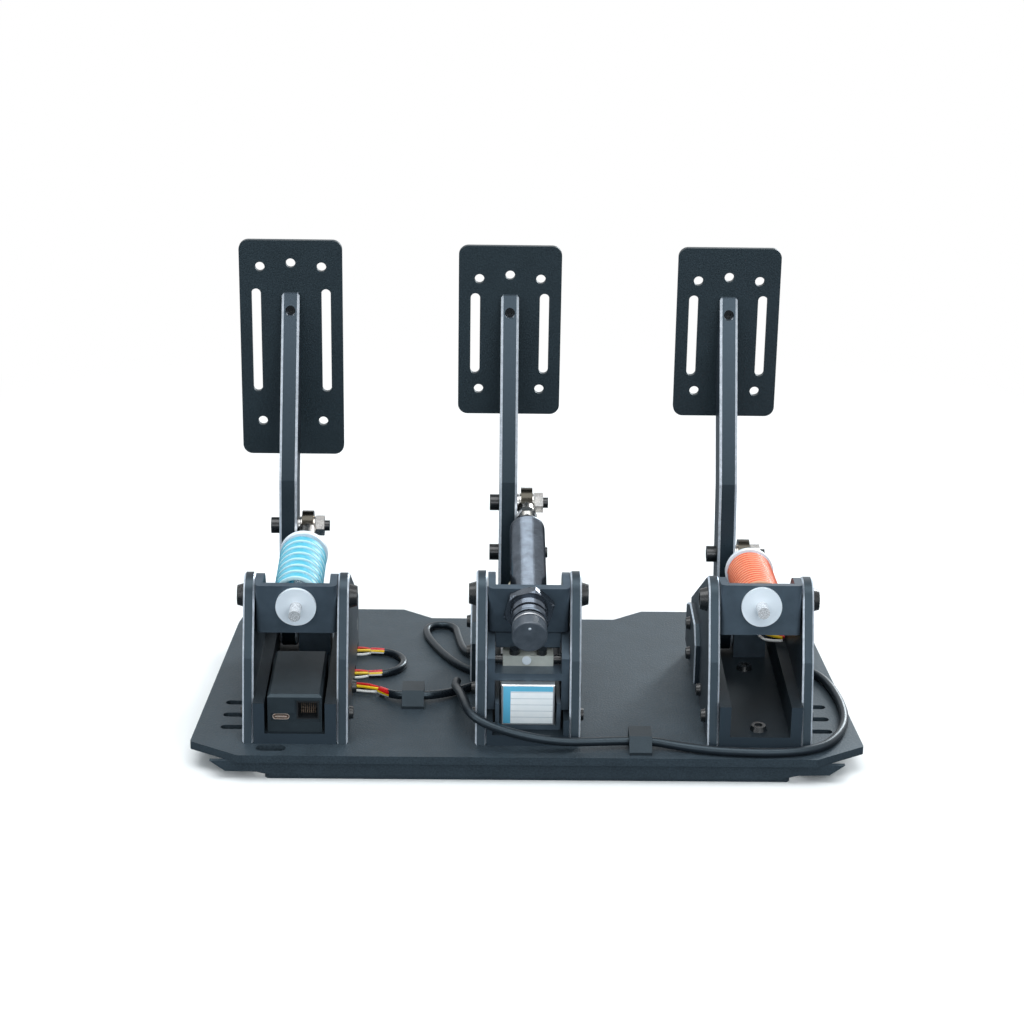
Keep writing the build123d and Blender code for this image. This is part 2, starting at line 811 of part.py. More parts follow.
# Rod end: a housing with its shank, a liner and a ball, whose bore leaves the open pivot its clearance
def make_rod_end(name, strut, end, radius):
    eye = strut.length
    half = eye_width / 2
    with BuildPart() as rod_end:
        with BuildSketch(strut.beside(half)):
            with Locations((eye, 0)):
                Circle(eye_radius)
        extrude(amount=eye_width)
        with BuildSketch(strut.across(eye - end)):
            Circle(shank_radius)
        extrude(amount=end - eye_radius / 2)
        with BuildSketch(strut.across(eye - end)):
            Circle(radius + running_gap)
        extrude(amount=end - eye_radius + running_gap, mode=Mode.SUBTRACT)
        with BuildSketch(strut.beside(half + shank_radius)):
            with Locations((eye, 0)):
                Circle(eye_bore)
        extrude(amount=eye_width + 2 * shank_radius, mode=Mode.SUBTRACT)
        with BuildSketch(strut.beside(half)):
            with Locations((eye, 0)):
                Circle(eye_bore - running_gap)
                Circle(eye_bore - liner_thick, mode=Mode.SUBTRACT)
        extrude(amount=eye_width)
        with BuildSketch(strut.beside(ball_width / 2)):
            with Locations((eye, 0)):
                Circle(eye_bore - liner_thick - running_gap)
                Circle(link_bolt_radius + open_pivot_gap, mode=Mode.SUBTRACT)
        extrude(amount=ball_width)
    save(rod_end, name)


wall_chamfer = cover_chamfer
for unit, strut, wire, turns in (
    ("throttle", throttle_strut, throttle_wire, throttle_turns),
    ("clutch", clutch_strut, clutch_wire, clutch_turns),
):
    make_bracket(f"{unit}_bracket", strut, bush_spigot_radius)
    make_bush(f"{unit}_bush", strut)
    make_spring(f"{unit}_spring", strut, wire, turns)
    make_cup(f"{unit}_spring_cup", strut)
    rod_nuts = (
        (spring_front + cup_thick, cup_nut_width, cup_nut_thick),
        (strut.length - shank_end - lock_nut_thick, lock_nut_width, lock_nut_thick),
    )
    tail = -bracket_back - bush_flange_thick - rod_tail
    make_rod(f"{unit}_rod", strut, tail, rod_radius, shank_end, rod_nuts)
    make_rod_end(f"{unit}_rod_end", strut, shank_end, rod_radius)

# Brake damper: a threaded body held by a big nut in its bracket, with a piston rod in front and a knob behind
make_bracket("brake_bracket", damper_strut, damper_radius)
damper_front = damper_strut.length - damper_reach
with BuildPart() as damper_body:
    with BuildSketch(damper_strut.beside()):
        with BuildLine():
            groove = -damper_groove_back
            Polyline(
                (-damper_tail, 0), (-damper_tail, damper_radius),
                (groove - damper_groove_width, damper_radius),
                (groove - damper_groove_width, damper_radius - damper_groove),
                (groove, damper_radius - damper_groove), (groove, damper_radius),
                (damper_front - damper_dome, damper_radius),
            )
            dome_end = (damper_front, damper_radius - damper_dome)
            TangentArc((damper_front - damper_dome, damper_radius), dome_end, tangent=(1, 0))
            Polyline(dome_end, (damper_front, 0), (-damper_tail, 0))
        make_face()
    revolve(axis=Axis(origin=damper_strut.across(0).origin, direction=damper_strut.across(0).z_dir))
    with BuildSketch(damper_strut.across(damper_front)):
        Circle(piston_radius + running_gap)
    extrude(amount=-damper_bore_depth, mode=Mode.SUBTRACT)
    with BuildSketch(damper_strut.across(-damper_tail)):
        Circle(spindle_radius)
    extrude(amount=-spindle_length)
save(damper_body, "damper_body")

with BuildPart() as damper_nut:
    with BuildSketch(damper_strut.across(-bracket_back)):
        RegularPolygon(damper_nut_width / 2, 6, major_radius=False)
        Circle(damper_radius + running_gap, mode=Mode.SUBTRACT)
    extrude(amount=-damper_nut_thick)
save(damper_nut, "damper_nut")

knob_front = -damper_tail - knob_gap
with BuildPart() as damper_knob:
    with BuildSketch(damper_strut.across(knob_front)):
        Circle(knob_radius)
        with PolarLocations(knob_radius, knob_flutes):
            Circle(knob_flute_radius, mode=Mode.SUBTRACT)
    extrude(amount=-knob_length)
    with BuildSketch(damper_strut.across(knob_front)):
        Circle(spindle_radius + running_gap)
    extrude(amount=-knob_bore_depth, mode=Mode.SUBTRACT)
save(damper_knob, "damper_knob")

piston_tail = damper_front - piston_hold
piston_nuts = ((damper_strut.length - short_shank_end - lock_nut_thick, lock_nut_width, lock_nut_thick),)
make_rod("damper_piston", damper_strut, piston_tail, piston_radius, short_shank_end, piston_nuts)
make_rod_end("damper_rod_end", damper_strut, short_shank_end, piston_radius)

# Brake link: it pushes the elastomers against a block that turns in the yoke over the load cell
with BuildPart() as link_block:
    with BuildSketch(side(-block_half)) as profile:
        block_middle = (link_strut.pivot[0] + (block_rear - block_front) / 2, link_strut.pivot[1])
        with Locations((block_middle[0], block_middle[1] + (block_high - block_low) / 2)):
            Rectangle(block_rear + block_front, block_low + block_high)
        chamfer(profile.vertices(), block_chamfer)
    extrude(amount=2 * block_half)
    with BuildSketch(link_strut.across(block_front / 2)):
        Circle(block_boss_radius)
    extrude(amount=block_boss_length)
    with BuildSketch(side(-inner_half + yoke_outer_gap)):
        with Locations(link_strut.pivot):
            Circle(block_pin_radius)
    extrude(amount=2 * (inner_half - yoke_outer_gap))
    with BuildSketch(link_strut.across(-overrun)):
        Circle(link_rod_radius + running_gap)
    extrude(amount=2 * overrun, mode=Mode.SUBTRACT)
save(link_block, "link_block")

stack_start = block_front / 2 + block_boss_length + fit_gap
with BuildPart() as elastomers:
    for place in range(elastomer_count):
        start = stack_start + place * elastomer_thick
        with BuildSketch(link_strut.across(start)):
            Circle(elastomer_radius)
            Circle(elastomer_bore, mode=Mode.SUBTRACT)
        disc = extrude(amount=elastomer_thick - fit_gap)
        rims = disc.edges().filter_by(GeomType.CIRCLE).group_by(SortBy.RADIUS)[-1]
        fillet(rims, elastomer_round)
save(elastomers, "elastomers")

collar_start = stack_start + elastomer_count * elastomer_thick
link_tail = -block_rear - rod_radius
with BuildPart() as link_rod:
    with BuildSketch(link_strut.across(link_tail)):
        Circle(link_rod_radius)
    extrude(amount=link_strut.length - eye_radius - link_tail)
    with BuildSketch(link_strut.across(collar_start)):
        Circle(link_collar_radius)
    extrude(amount=link_collar_thick)
    with BuildSketch(link_strut.across(link_strut.length - shank_end - lock_nut_thick)):
        RegularPolygon(lock_nut_width / 2, 6, major_radius=False)
    extrude(amount=lock_nut_thick)
save(link_rod, "link_rod")
make_rod_end("link_rod_end", link_strut, shank_end, link_rod_radius)

# Load cell in its cradle, with a yoke bolted on its top that carries the block's pins
cell_rear = unit_rear - cell_rear_inset
cell_low = floor_top + cradle_floor
cell_top = plate_top + cell_high
with BuildPart() as load_cell:
    with BuildSketch(side(-cell_width / 2)) as profile:
        with Locations((cell_rear - cell_length / 2, (cell_low + cell_top) / 2)):
            Rectangle(cell_length, cell_top - cell_low)
            with Locations((-cell_hole_pitch / 2, 0), (cell_hole_pitch / 2, 0)):
                Circle(cell_hole_radius, mode=Mode.SUBTRACT)
    extrude(amount=cell_width)
    chamfer(load_cell.faces().sort_by(Axis.Y)[-1].edges(), cell_chamfer)
save(load_cell, "load_cell")

with BuildPart() as cell_cradle:
    with BuildSketch(rear_view(cell_rear)):
        with Locations((0, floor_top + (cradle_high - floor_thick) / 2)):
            Rectangle(cradle_inner + 2 * cradle_wall, cradle_high - floor_thick)
        with Locations((0, floor_top + cradle_floor + overrun)):
            Rectangle(cradle_inner, 2 * overrun, mode=Mode.SUBTRACT)
    extrude(amount=cell_length)
save(cell_cradle, "cell_cradle")

yoke_rear = unit_rear - yoke_rear_inset
crossbar_low = cell_top + fit_gap
yoke_outer = inner_half - yoke_outer_gap
with BuildPart() as cell_yoke:
    with BuildSketch(side(-yoke_outer)):
        with BuildLine():
            Polyline(
                (yoke_rear, plate_top + yoke_low), (yoke_rear, plate_top + yoke_rear_high),
                (unit_rear - yoke_front_inset, plate_top + yoke_low), close=True,
            )
            CenterArc(link_strut.pivot, yoke_ear, 0, full_turn)
        make_hull()
    extrude(amount=2 * yoke_outer)
    with BuildSketch(side(-yoke_outer + yoke_thick)):
        with Locations((yoke_rear, plate_top + yoke_rear_high)):
            Rectangle(unit_length, unit_length)
    extrude(amount=2 * (yoke_outer - yoke_thick), mode=Mode.SUBTRACT)
    with BuildSketch(rear_view(yoke_rear)):
        with Locations((0, crossbar_low + crossbar_thick / 2)):
            Rectangle(2 * yoke_outer - yoke_thick, crossbar_thick)
    extrude(amount=crossbar_length)
    with BuildSketch(Plane.XY.offset(cell_top)):
        with Locations((0, yoke_rear - yoke_nut_radius)):
            Circle(yoke_nut_radius)
    extrude(amount=fit_gap)
    with BuildSketch(side(-yoke_outer)):
        with Locations(link_strut.pivot):
            Circle(block_pin_radius + running_gap)
    extrude(amount=2 * yoke_outer, mode=Mode.SUBTRACT)
save(cell_yoke, "cell_yoke")

# Bearing bar on the crossbar
crossbar_top = crossbar_low + crossbar_thick
bar_rear = unit_rear - bar_rear_inset
bar_top = plate_top + bar_high
bolt_y = bar_rear - bar_bolt_inset
with BuildPart() as bearing_bar:
    with BuildSketch(rear_view(bar_rear)):
        with Locations((0, (crossbar_top + bar_top) / 2)):
            Rectangle(2 * bar_half, bar_top - crossbar_top)
    extrude(amount=bar_length)
    with Locations(*[Plane(origin=(edge * bar_bolt_spacing / 2, bolt_y, bar_top)) for edge in (-1, 1)]):
        Hole(bar_bolt_radius, bar_top - crossbar_top)
save(bearing_bar, "bearing_bar")

# Screws of the frame: side, floor, cover and pivot screws, the bar's two bolts, and the spacers at its ends
with BuildPart() as frame_screws:
    for x, outward in side_pairs:
        for back in side_screw_backs:
            place = (x + outward * outer_half, unit_rear - back, plate_top + side_screw_low)
            plane = Plane(origin=place, z_dir=(outward, 0, 0))
            button_screw(plane, side_screw_head, side_screw_rise, side_screw_radius, side_thick)
    for x in (throttle_x, clutch_x):
        for back in (floor_screw_front,):
            plane = Plane(origin=(x, unit_rear - back, floor_top), z_dir=(0, 0, 1))
            button_screw(plane, floor_screw_head, floor_screw_rise, floor_screw_radius, floor_thick)
    plane = Plane(origin=(clutch_x, unit_rear - floor_screw_rear, floor_top), z_dir=(0, 0, 1))
    button_screw(plane, floor_screw_head, floor_screw_rise, floor_screw_radius, floor_thick)
    for x in unit_xs:
        for back, high in cover_screw_places:
            place = (x + outer_half + cover_thick, unit_rear - back, plate_top + high)
            plane = Plane(origin=place, z_dir=(1, 0, 0))
            button_screw(plane, side_screw_head, side_screw_rise, side_screw_radius, cover_thick)
    for x, outward in side_pairs:
        pivot = damper_strut.pivot if x == brake_x else throttle_strut.pivot
        plane = Plane(origin=(x + outward * outer_half, pivot[0], pivot[1]), z_dir=(outward, 0, 0))
        hold = side_thick + bracket_side_gap + bracket_thick
        button_screw(plane, pivot_bolt_head, pivot_bolt_rise, pivot_bolt_radius, hold)
    for edge in (-1, 1):
        with BuildSketch(Plane(origin=(edge * bar_bolt_spacing / 2, bolt_y, crossbar_top))):
            Circle(bar_bolt_radius - running_gap)
        extrude(amount=bar_top - crossbar_top)
        with BuildSketch(Plane(origin=(edge * bar_bolt_spacing / 2, bolt_y, bar_top))):
            Circle(bar_bolt_head)
        extrude(amount=bar_bolt_rise)
        with BuildSketch(side(edge * (yoke_outer - yoke_thick))):
            with Locations((bolt_y, (crossbar_top + bar_top) / 2)):
                Circle(cell_spacer_radius)
        extrude(amount=-edge * (yoke_outer - yoke_thick - bar_half))
save(frame_screws, "frame_screws")

# Angle sensor housings: each sits on the channel floor beside the arm, round the hinge axle
sensor_top = plate_top + sensor_high
with BuildPart() as sensor_housings:
    for x in (throttle_x, clutch_x):
        high = x + arm_x - arm_thick / 2 - bush_reach - fit_gap
        with BuildSketch(side(x - sensor_half_low)) as outline:
            with Locations((hinge[0] + (sensor_rear - sensor_front) / 2, (floor_top + sensor_top) / 2)):
                Rectangle(sensor_rear + sensor_front, sensor_top - floor_top)
        block = extrude(amount=high - x + sensor_half_low)
        chamfer(block.edges().filter_by(Axis.X).group_by(Axis.Z)[-1], sensor_chamfer)
        with BuildSketch(side(x - sensor_half_low)):
            with Locations(hinge):
                Circle(axle_radius + running_gap)
        extrude(amount=high - x + sensor_half_low, mode=Mode.SUBTRACT)
save(sensor_housings, "sensor_housings")

# Controller box between the legs of the throttle channel
case_rear = unit_rear - case_rear_inset
case_top = plate_top + case_high
with BuildPart() as controller_case:
    with BuildSketch(rear_view(case_rear)):
        with Locations((throttle_x, (floor_top + case_top) / 2)):
            Rectangle(case_width, case_top - floor_top)
    extrude(amount=case_length)
    with BuildSketch(rear_view(case_rear)):
        with Locations((throttle_x + usb_x, plate_top + usb_z)):
            SlotOverall(usb_width + 2 * running_gap, usb_height + 2 * running_gap)
        with Locations((throttle_x + jack_x, plate_top + jack_low + jack_height / 2)):
            Rectangle(jack_width + 2 * running_gap, jack_height + 2 * running_gap)
    extrude(amount=jack_depth, mode=Mode.SUBTRACT)
    with BuildSketch(rear_view(case_rear)):
        with BuildLine():
            usb_left = throttle_x + usb_x + usb_width / 2 + jack_margin
            usb_top = plate_top + usb_z + usb_height / 2 + jack_margin
            jack_left = throttle_x + jack_x + jack_width / 2 + jack_margin
            jack_right = throttle_x + jack_x - jack_width / 2 - jack_margin
            jack_bottom = plate_top + usb_z - usb_height / 2 - jack_margin
            Polyline(
                (usb_left, usb_top), (jack_left, usb_top), (jack_left, case_top), (jack_right, case_top),
                (jack_right, jack_bottom), (usb_left, jack_bottom), close=True,
            )
        make_face()
    extrude(amount=port_recess, mode=Mode.SUBTRACT)
save(controller_case, "controller_case")

with BuildPart() as controller_lid:
    with BuildSketch(Plane.XY.offset(case_top)):
        with Locations((throttle_x, case_rear - case_length / 2)):
            Rectangle(case_width, case_length)
    extrude(amount=lid_thick)
    chamfer(controller_lid.faces().sort_by(Axis.Z)[-1].edges(), lid_chamfer)
save(controller_lid, "controller_lid")

with BuildPart() as controller_ports:
    shell_rear = case_rear - port_recess
    with BuildSketch(rear_view(shell_rear)):
        with Locations((throttle_x + usb_x, plate_top + usb_z)):
            SlotOverall(usb_width, usb_height)
    extrude(amount=usb_depth)
    with BuildSketch(rear_view(shell_rear)):
        with Locations((throttle_x + usb_x, plate_top + usb_z)):
            SlotOverall(usb_width - 2 * usb_wall, usb_height - 2 * usb_wall)
            SlotOverall(usb_width - 6 * usb_wall, usb_height - 6 * usb_wall, mode=Mode.SUBTRACT)
    extrude(amount=usb_depth - 2 * usb_wall, mode=Mode.SUBTRACT)
    jack_middle = (throttle_x + jack_x, plate_top + jack_low + jack_height / 2)
    with BuildSketch(rear_view(shell_rear)):
        with Locations(jack_middle):
            Rectangle(jack_width, jack_height)
            Rectangle(jack_width - 2 * jack_margin, jack_height - 2 * jack_margin, mode=Mode.SUBTRACT)
    extrude(amount=jack_depth - port_recess - running_gap)
    with BuildSketch(rear_view(case_rear - jack_depth + jack_margin + running_gap)):
        with Locations(jack_middle):
            Rectangle(jack_width - jack_margin, jack_height - jack_margin)
    extrude(amount=jack_margin)
save(controller_ports, "controller_ports")


# Leads: straight runs with arcs as large as the runs allow
def lead_arcs(points):
    radii = []
    for before, corner, after in zip(points, points[1:], points[2:]):
        turn = (corner - before).get_angle(after - corner)
        shorter = min((corner - before).length, (after - corner).length)
        radii.append(0.45 * shorter / tan(radians(turn) / 2))
    return radii


def make_lead(name, route, radius):
    points = [Vector(*place) for place in route]
    radii = lead_arcs(points)
    with BuildPart() as lead:
        with BuildLine() as path:
            FilletPolyline(*points, radius=radii)
        with BuildSketch(Plane(origin=points[0], z_dir=points[1] - points[0])):
            Circle(radius)
        sweep(path=path.line)
    length = path.wires()[0].length
    expected = length * pi * radius**2
    print(
        name, "length", round(length), "least radius", round(min(radii), 1),
        "volume ratio", round(lead.part.volume / expected, 4),
    )
    save(lead, name)


# Each route is a list of places chosen along the lead as it lies on the base
sensor_route = (
    (88, -31.9, 17.2), (80, -31.8, 17.2), (73, -27.6, 17.2), (68.8, -20.6, 17.2),
    (68.9, -12.5, 17.2), (73, -5.4, 17.2), (80.1, -1.3, 17.2), (88, -0.9, 17.2),
)
harness_route = (
    (80.6, 22.0, 17.6), (75.4, 27.7, 18.3), (69.0, 31.0, 19.05), (55.4, 31.0, 19.05), (47.6, 27.9, 18.5),
    (41, 23.4, 17.8), (34.5, 18.9, 17.6), (28.9, 15.0, 17.6), (23.4, 12.4, 17.8),
)
loop_route = (
    (22.8, -24.4, 17.6), (30, -27.0, 17.4), (34.9, -34.2, 17.3), (37.2, -46, 17.2), (38.8, -57.4, 17.3),
    (39.6, -64.5, 17.2), (42.9, -69.2, 17.2), (48.4, -71.0, 17.2), (53.8, -69.0, 17.2), (57.0, -64.3, 17.2),
    (56.4, -55.4, 17.2), (51.2, -39.5, 17.3), (43.0, -22.2, 17.2), (35.8, -11.4, 17.3), (29.6, -5.6, 17.3),
    (22.8, -2.9, 17.6),
)
long_route = (
    (38.3, 19.6, 22.7), (39.0, 27, 24.0), (38.7, 36, 27.0), (37.3, 47.4, 30.6), (35.4, 59.6, 33.0),
    (33.6, 71, 34.2), (32.0, 80.5, 33.8), (26.8, 87.4, 31.8), (18.4, 91.0, 29.2), (6, 92.0, 25.6),
    (-7, 91.6, 22.6), (-21, 90.2, 20.4), (-35, 87.6, 19.5), (-49.5, 85.6, 19.2), (-66.5, 85.5, 19.1),
    (-80, 88.4, 17.7), (-97, 92.8, 17.5), (-114, 94.9, 17.6), (-131, 94.9, 17.5), (-146.2, 92.6, 17.5),
    (-157.0, 87.0, 17.5), (-163.6, 78.8, 17.5), (-168.8, 68.8, 17.6), (-172.0, 58.4, 17.5),
    (-173.5, 46.2, 17.6), (-173.4, 33.6, 17.5), (-172.0, 20, 17.5), (-169.6, 7.4, 17.6),
    (-165.6, -3.0, 17.5), (-160.0, -10.0, 17.5), (-153.4, -13.4, 17.5), (-146.8, -14.2, 17.6),
)
make_lead("sensor_lead", sensor_route, thin_lead_radius)
make_lead("harness_lead", harness_route, lead_radius)
make_lead("loop_lead", loop_route, thin_lead_radius)
make_lead("long_lead", long_route, lead_radius)

# Bundles of bare wires between the leads and the housings
wire_routes = (
    ((101, -31.3, 17.3), (94.6, -31.5, 17.3), (88.3, -31.9, 17.2)),
    ((101, 0.0, 17.3), (94.6, -0.3, 17.3), (88.3, -0.9, 17.2)),
    ((101, 16.4, 17.6), (91, 16.9, 17.4), (81.6, 20.8, 17.6)),
    ((-132, -18.2, 38.5), (-133.4, -8.6, 40.6), (-137.8, -1.6, 41.6), (-144.2, 1.4, 41.8)),
)
with BuildPart() as lead_wires:
    for route in wire_routes:
        points = [Vector(*place) for place in route]
        with BuildLine() as path:
            FilletPolyline(*points, radius=lead_arcs(points))
        with BuildSketch(Plane(origin=points[0], z_dir=points[1] - points[0])):
            Circle(wire_bundle_radius)
        sweep(path=path.line)
save(lead_wires, "lead_wires")

# Cable clips: a pad with a rounded strap over the lead
pad_top = plate_top + clip_pad
strap_top = plate_top + clip_high
bore_height = pad_top + lead_radius + running_gap
with BuildPart() as cable_clips:
    for middle, near in (harness_clip, long_clip):
        bore_y = near - clip_bore_inset
        far = near - clip_length
        with BuildSketch(side(middle - clip_width / 2)) as outline:
            with BuildLine():
                Polyline(
                    (near, plate_top), (near, pad_top), (bore_y + lead_radius + clip_wall, strap_top),
                    (far + clip_wall, strap_top), (far, pad_top), (far, plate_top), close=True,
                )
            make_face()
            with Locations((bore_y, bore_height)):
                Circle(lead_radius + loose_gap, mode=Mode.SUBTRACT)
        extrude(amount=clip_width)
save(cable_clips, "cable_clips")
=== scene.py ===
# %% [markdown]
# # Pedal set for racing games
# The set has three pedals on one slotted base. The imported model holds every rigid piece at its
# real size, so this lesson only dresses it: finishes for the metal, and new pieces for the springs,
# the rubber, the leads and the small marks that a solid model can't show.

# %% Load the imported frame
import json

from math import atan2, cos, hypot, pi, radians, sin, tan

import bmesh
import bpy
from mathutils import Matrix, Vector


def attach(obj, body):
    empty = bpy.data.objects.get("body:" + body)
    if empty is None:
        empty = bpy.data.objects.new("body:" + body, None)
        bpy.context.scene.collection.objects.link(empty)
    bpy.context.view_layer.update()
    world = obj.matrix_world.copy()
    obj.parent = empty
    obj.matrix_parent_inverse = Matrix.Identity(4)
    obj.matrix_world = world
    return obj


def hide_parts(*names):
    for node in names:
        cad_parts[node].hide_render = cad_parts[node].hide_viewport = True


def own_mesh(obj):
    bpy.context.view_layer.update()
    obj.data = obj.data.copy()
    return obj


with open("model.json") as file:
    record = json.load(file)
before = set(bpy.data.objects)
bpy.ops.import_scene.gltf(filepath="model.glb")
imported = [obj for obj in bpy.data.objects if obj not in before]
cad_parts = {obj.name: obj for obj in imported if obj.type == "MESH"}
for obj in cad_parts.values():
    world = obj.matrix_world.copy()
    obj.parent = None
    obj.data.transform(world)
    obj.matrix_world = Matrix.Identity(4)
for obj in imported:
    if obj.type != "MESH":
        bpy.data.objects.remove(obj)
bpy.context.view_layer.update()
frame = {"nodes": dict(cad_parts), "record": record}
nodes = frame["nodes"]
scene = bpy.context.scene
MM = 0.001

# %% [markdown]
# ## Camera
# The photograph looks at the back of the set from a little above, with a long lens. The place, the
# tilt and the lens come from the corners of the face plates and of the base, so no shift is needed.

# %% Set the camera
camera_place = Vector((28.8, 1280.4, 607.4)) * MM
camera_lens = 87.9
camera_down, camera_turn, camera_roll = radians(21), radians(-0.893), radians(0.856)

forward = Vector((
    sin(camera_turn) * cos(camera_down), -cos(camera_down) * cos(camera_turn), -sin(camera_down)
))
level = Vector((-cos(camera_turn), -sin(camera_turn), 0))
upward = level.cross(forward)
right = level * cos(camera_roll) + upward * sin(camera_roll)
top = upward * cos(camera_roll) - level * sin(camera_roll)

lens = bpy.data.cameras.new("photo_camera")
lens.lens = camera_lens
lens.sensor_width = 36
camera = bpy.data.objects.new("photo_camera", lens)
camera.matrix_world = Matrix((right, top, -forward)).transposed().to_4x4()
camera.location = camera_place
scene.collection.objects.link(camera)
scene.camera = camera
scene.view_settings.view_transform = "Standard"
print("camera at", [round(v, 3) for v in camera.location])

# %% [markdown]
# ## Lamps
# A product photograph has broad soft light. A few large lamps give the long pale streaks on the
# black metal, which small or distant ones wouldn't. All of them are aimed at the middle of the set.

# %% Light the set
lamps = (  # name, place, width and height, watts, colour
    ("lamp_above", (0.1, 0.25, 1.5), (1.6, 1.0), 19, (0.97, 0.99, 1.0)),
    ("lamp_rear", (-0.75, 1.65, 0.95), (1.0, 1.2), 10, (0.90, 0.96, 1.0)),
    ("lamp_side", (1.5, 0.9, 0.6), (0.8, 1.2), 6, (0.92, 0.97, 1.0)),
    ("lamp_front", (-0.86, -1.36, 0.72), (0.34, 0.9), 20, (0.94, 0.98, 1.0)),
    ("lamp_behind", (0.3, 2.4, 0.95), (2.0, 0.5), 10, (0.90, 0.96, 1.0)),
)
middle_of_set = Vector((0, 0, 0.1))
for name, place, size, watts, colour in lamps:
    lamp = bpy.data.lights.new(name, "AREA")
    lamp.shape = "RECTANGLE"
    lamp.size, lamp.size_y = size
    lamp.energy = watts
    lamp.color = colour
    holder = bpy.data.objects.new(name, lamp)
    holder.location = place
    holder.rotation_euler = (middle_of_set - Vector(place)).to_track_quat("-Z", "Y").to_euler()
    scene.collection.objects.link(holder)
print("lamps", len(lamps))

# %% [markdown]
# ## White surroundings
# The camera sees plain white behind the set, and glossy metal mirrors the same white. As light, the
# surroundings are weaker, and darker below than above, so that the black coats stay black. Light
# Path tells the two uses apart, which a plain white world can't do.

# %% Make the surroundings
sky_heights, sky_light, sky_colour = (-0.2, 0.9), (0.10, 0.72), (0.84, 0.95, 1.0, 1)


def join(tree, *wires):
    """Joins nodes. Each wire is a node and its output, then a node and its input."""
    for source, output, target, into in wires:
        tree.links.new(source.outputs[output], target.inputs[into])


def set_span(node, start, end, low, high):
    """Sets a Map Range node to turn start to end into low to high."""
    for name, value in (("From Min", start), ("From Max", end), ("To Min", low), ("To Max", high)):
        node.inputs[name].default_value = value


world = bpy.data.worlds.new("studio")
scene.world = world
world.use_nodes = True
studio = world.node_tree
studio.nodes.clear()
out, glow, white, rays, seen, pick, where, parts, fade = [
    studio.nodes.new("ShaderNode" + kind) for kind in (
        "OutputWorld", "Background", "Background", "LightPath", "Math", "MixShader", "TexCoord",
        "SeparateXYZ", "MapRange",
    )
]
white.inputs["Color"].default_value = (1, 1, 1, 1)
glow.inputs["Color"].default_value = sky_colour
seen.operation = "MAXIMUM"
set_span(fade, *sky_heights, *sky_light)
join(
    studio, (where, "Generated", parts, 0), (parts, "Z", fade, "Value"), (fade, "Result", glow, "Strength"),
    (rays, "Is Camera Ray", seen, 0), (rays, "Is Glossy Ray", seen, 1), (seen, 0, pick, "Fac"),
    (glow, 0, pick, 1), (white, 0, pick, 2), (pick, 0, out, "Surface"),
)
print("surroundings", len(studio.nodes), "nodes")

# %% [markdown]
# ## A small kit for finishes
# Every finish here is a Principled shader with a grain: a fine noise that changes the colour, the
# roughness and the height a little. The grain reads Object coordinates, so it stays on the piece
# when a pedal moves.

# %% Make the finish kit
class Finish:
    """A material whose colour, roughness and height follow noise on Object coordinates."""

    def __init__(self, name, metal=0.0, specular=0.5, coat=0.0, tint=(1, 1, 1)):
        self.material = bpy.data.materials.new(name)
        self.material.use_nodes = True
        self.tree = self.material.node_tree
        self.shader = self.tree.nodes["Principled BSDF"]
        self.shader.inputs["Metallic"].default_value = metal
        self.shader.inputs["Specular IOR Level"].default_value = specular
        self.shader.inputs["Specular Tint"].default_value = (*tint, 1)
        self.shader.inputs["Coat Weight"].default_value = coat
        self.place = self.node("ShaderNodeTexCoord")

    def node(self, kind, **values):
        node = self.tree.nodes.new(kind)
        for key, value in values.items():
            setattr(node, key, value)
        return node

    def wire(self, source, target):
        self.tree.links.new(source, target)

    def split(self, source):
        parts = self.node("ShaderNodeSeparateXYZ")
        self.wire(source, parts.inputs[0])
        return parts.outputs

    def position(self):
        """The place of a point on the piece, as x, y and z in metres."""
        return self.split(self.place.outputs["Object"])

    def facing(self):
        """The direction that the surface points in, as x, y and z."""
        return self.split(self.place.outputs["Normal"])

    def noise(self, grain, detail):
        """Noise whose grains are that many millimetres long."""
        noise = self.node("ShaderNodeTexNoise")
        noise.inputs["Scale"].default_value = 1 / (grain * MM)
        noise.inputs["Detail"].default_value = detail
        self.wire(self.place.outputs["Object"], noise.inputs["Vector"])
        return noise.outputs["Fac"]

    def spread(self, value, low, high, span=(0.3, 0.7), **kind):
        """Turns the span, at first that of most noise, into low to high."""
        node = self.node("ShaderNodeMapRange", **kind)
        set_span(node, *span, low, high)
        self.wire(value, node.inputs["Value"])
        return node.outputs["Result"]

    def mix(self, share, low, high):
        """A colour between two colours, each given as three numbers or as an output."""
        mix = self.node("ShaderNodeMix", data_type="RGBA")
        for socket, value in ((6, low), (7, high)):
            if isinstance(value, tuple):
                mix.inputs[socket].default_value = (*value, 1)
            else:
                self.wire(value, mix.inputs[socket])
        self.wire(share, mix.inputs[0])
        return mix.outputs[2]

    def drift(self, size, detail, dark, pale):
        """A colour that wanders from dark to pale in patches of that size."""
        return self.mix(self.spread(self.noise(size, detail), 0.0, 1.0), dark, pale)

    def math(self, operation, *values):
        node = self.node("ShaderNodeMath", operation=operation)
        for socket, value in enumerate(values):
            if isinstance(value, (int, float)):
                node.inputs[socket].default_value = value
            else:
                self.wire(value, node.inputs[socket])
        return node.outputs[0]

    def colour(self, value):
        self.wire(value, self.shader.inputs["Base Color"])

    def metal(self, value):
        self.wire(value, self.shader.inputs["Metallic"])

    def grain(self, size, rough, strength, depth):
        """A fine noise that changes the roughness between two limits, and the height."""
        fine = self.noise(size, 2)
        self.wire(self.spread(fine, *rough), self.shader.inputs["Roughness"])
        bump = self.node("ShaderNodeBump")
        bump.inputs["Strength"].default_value = strength
        bump.inputs["Distance"].default_value = depth * MM
        self.wire(fine, bump.inputs["Height"])
        self.wire(bump.outputs[0], self.shader.inputs["Normal"])
        return fine


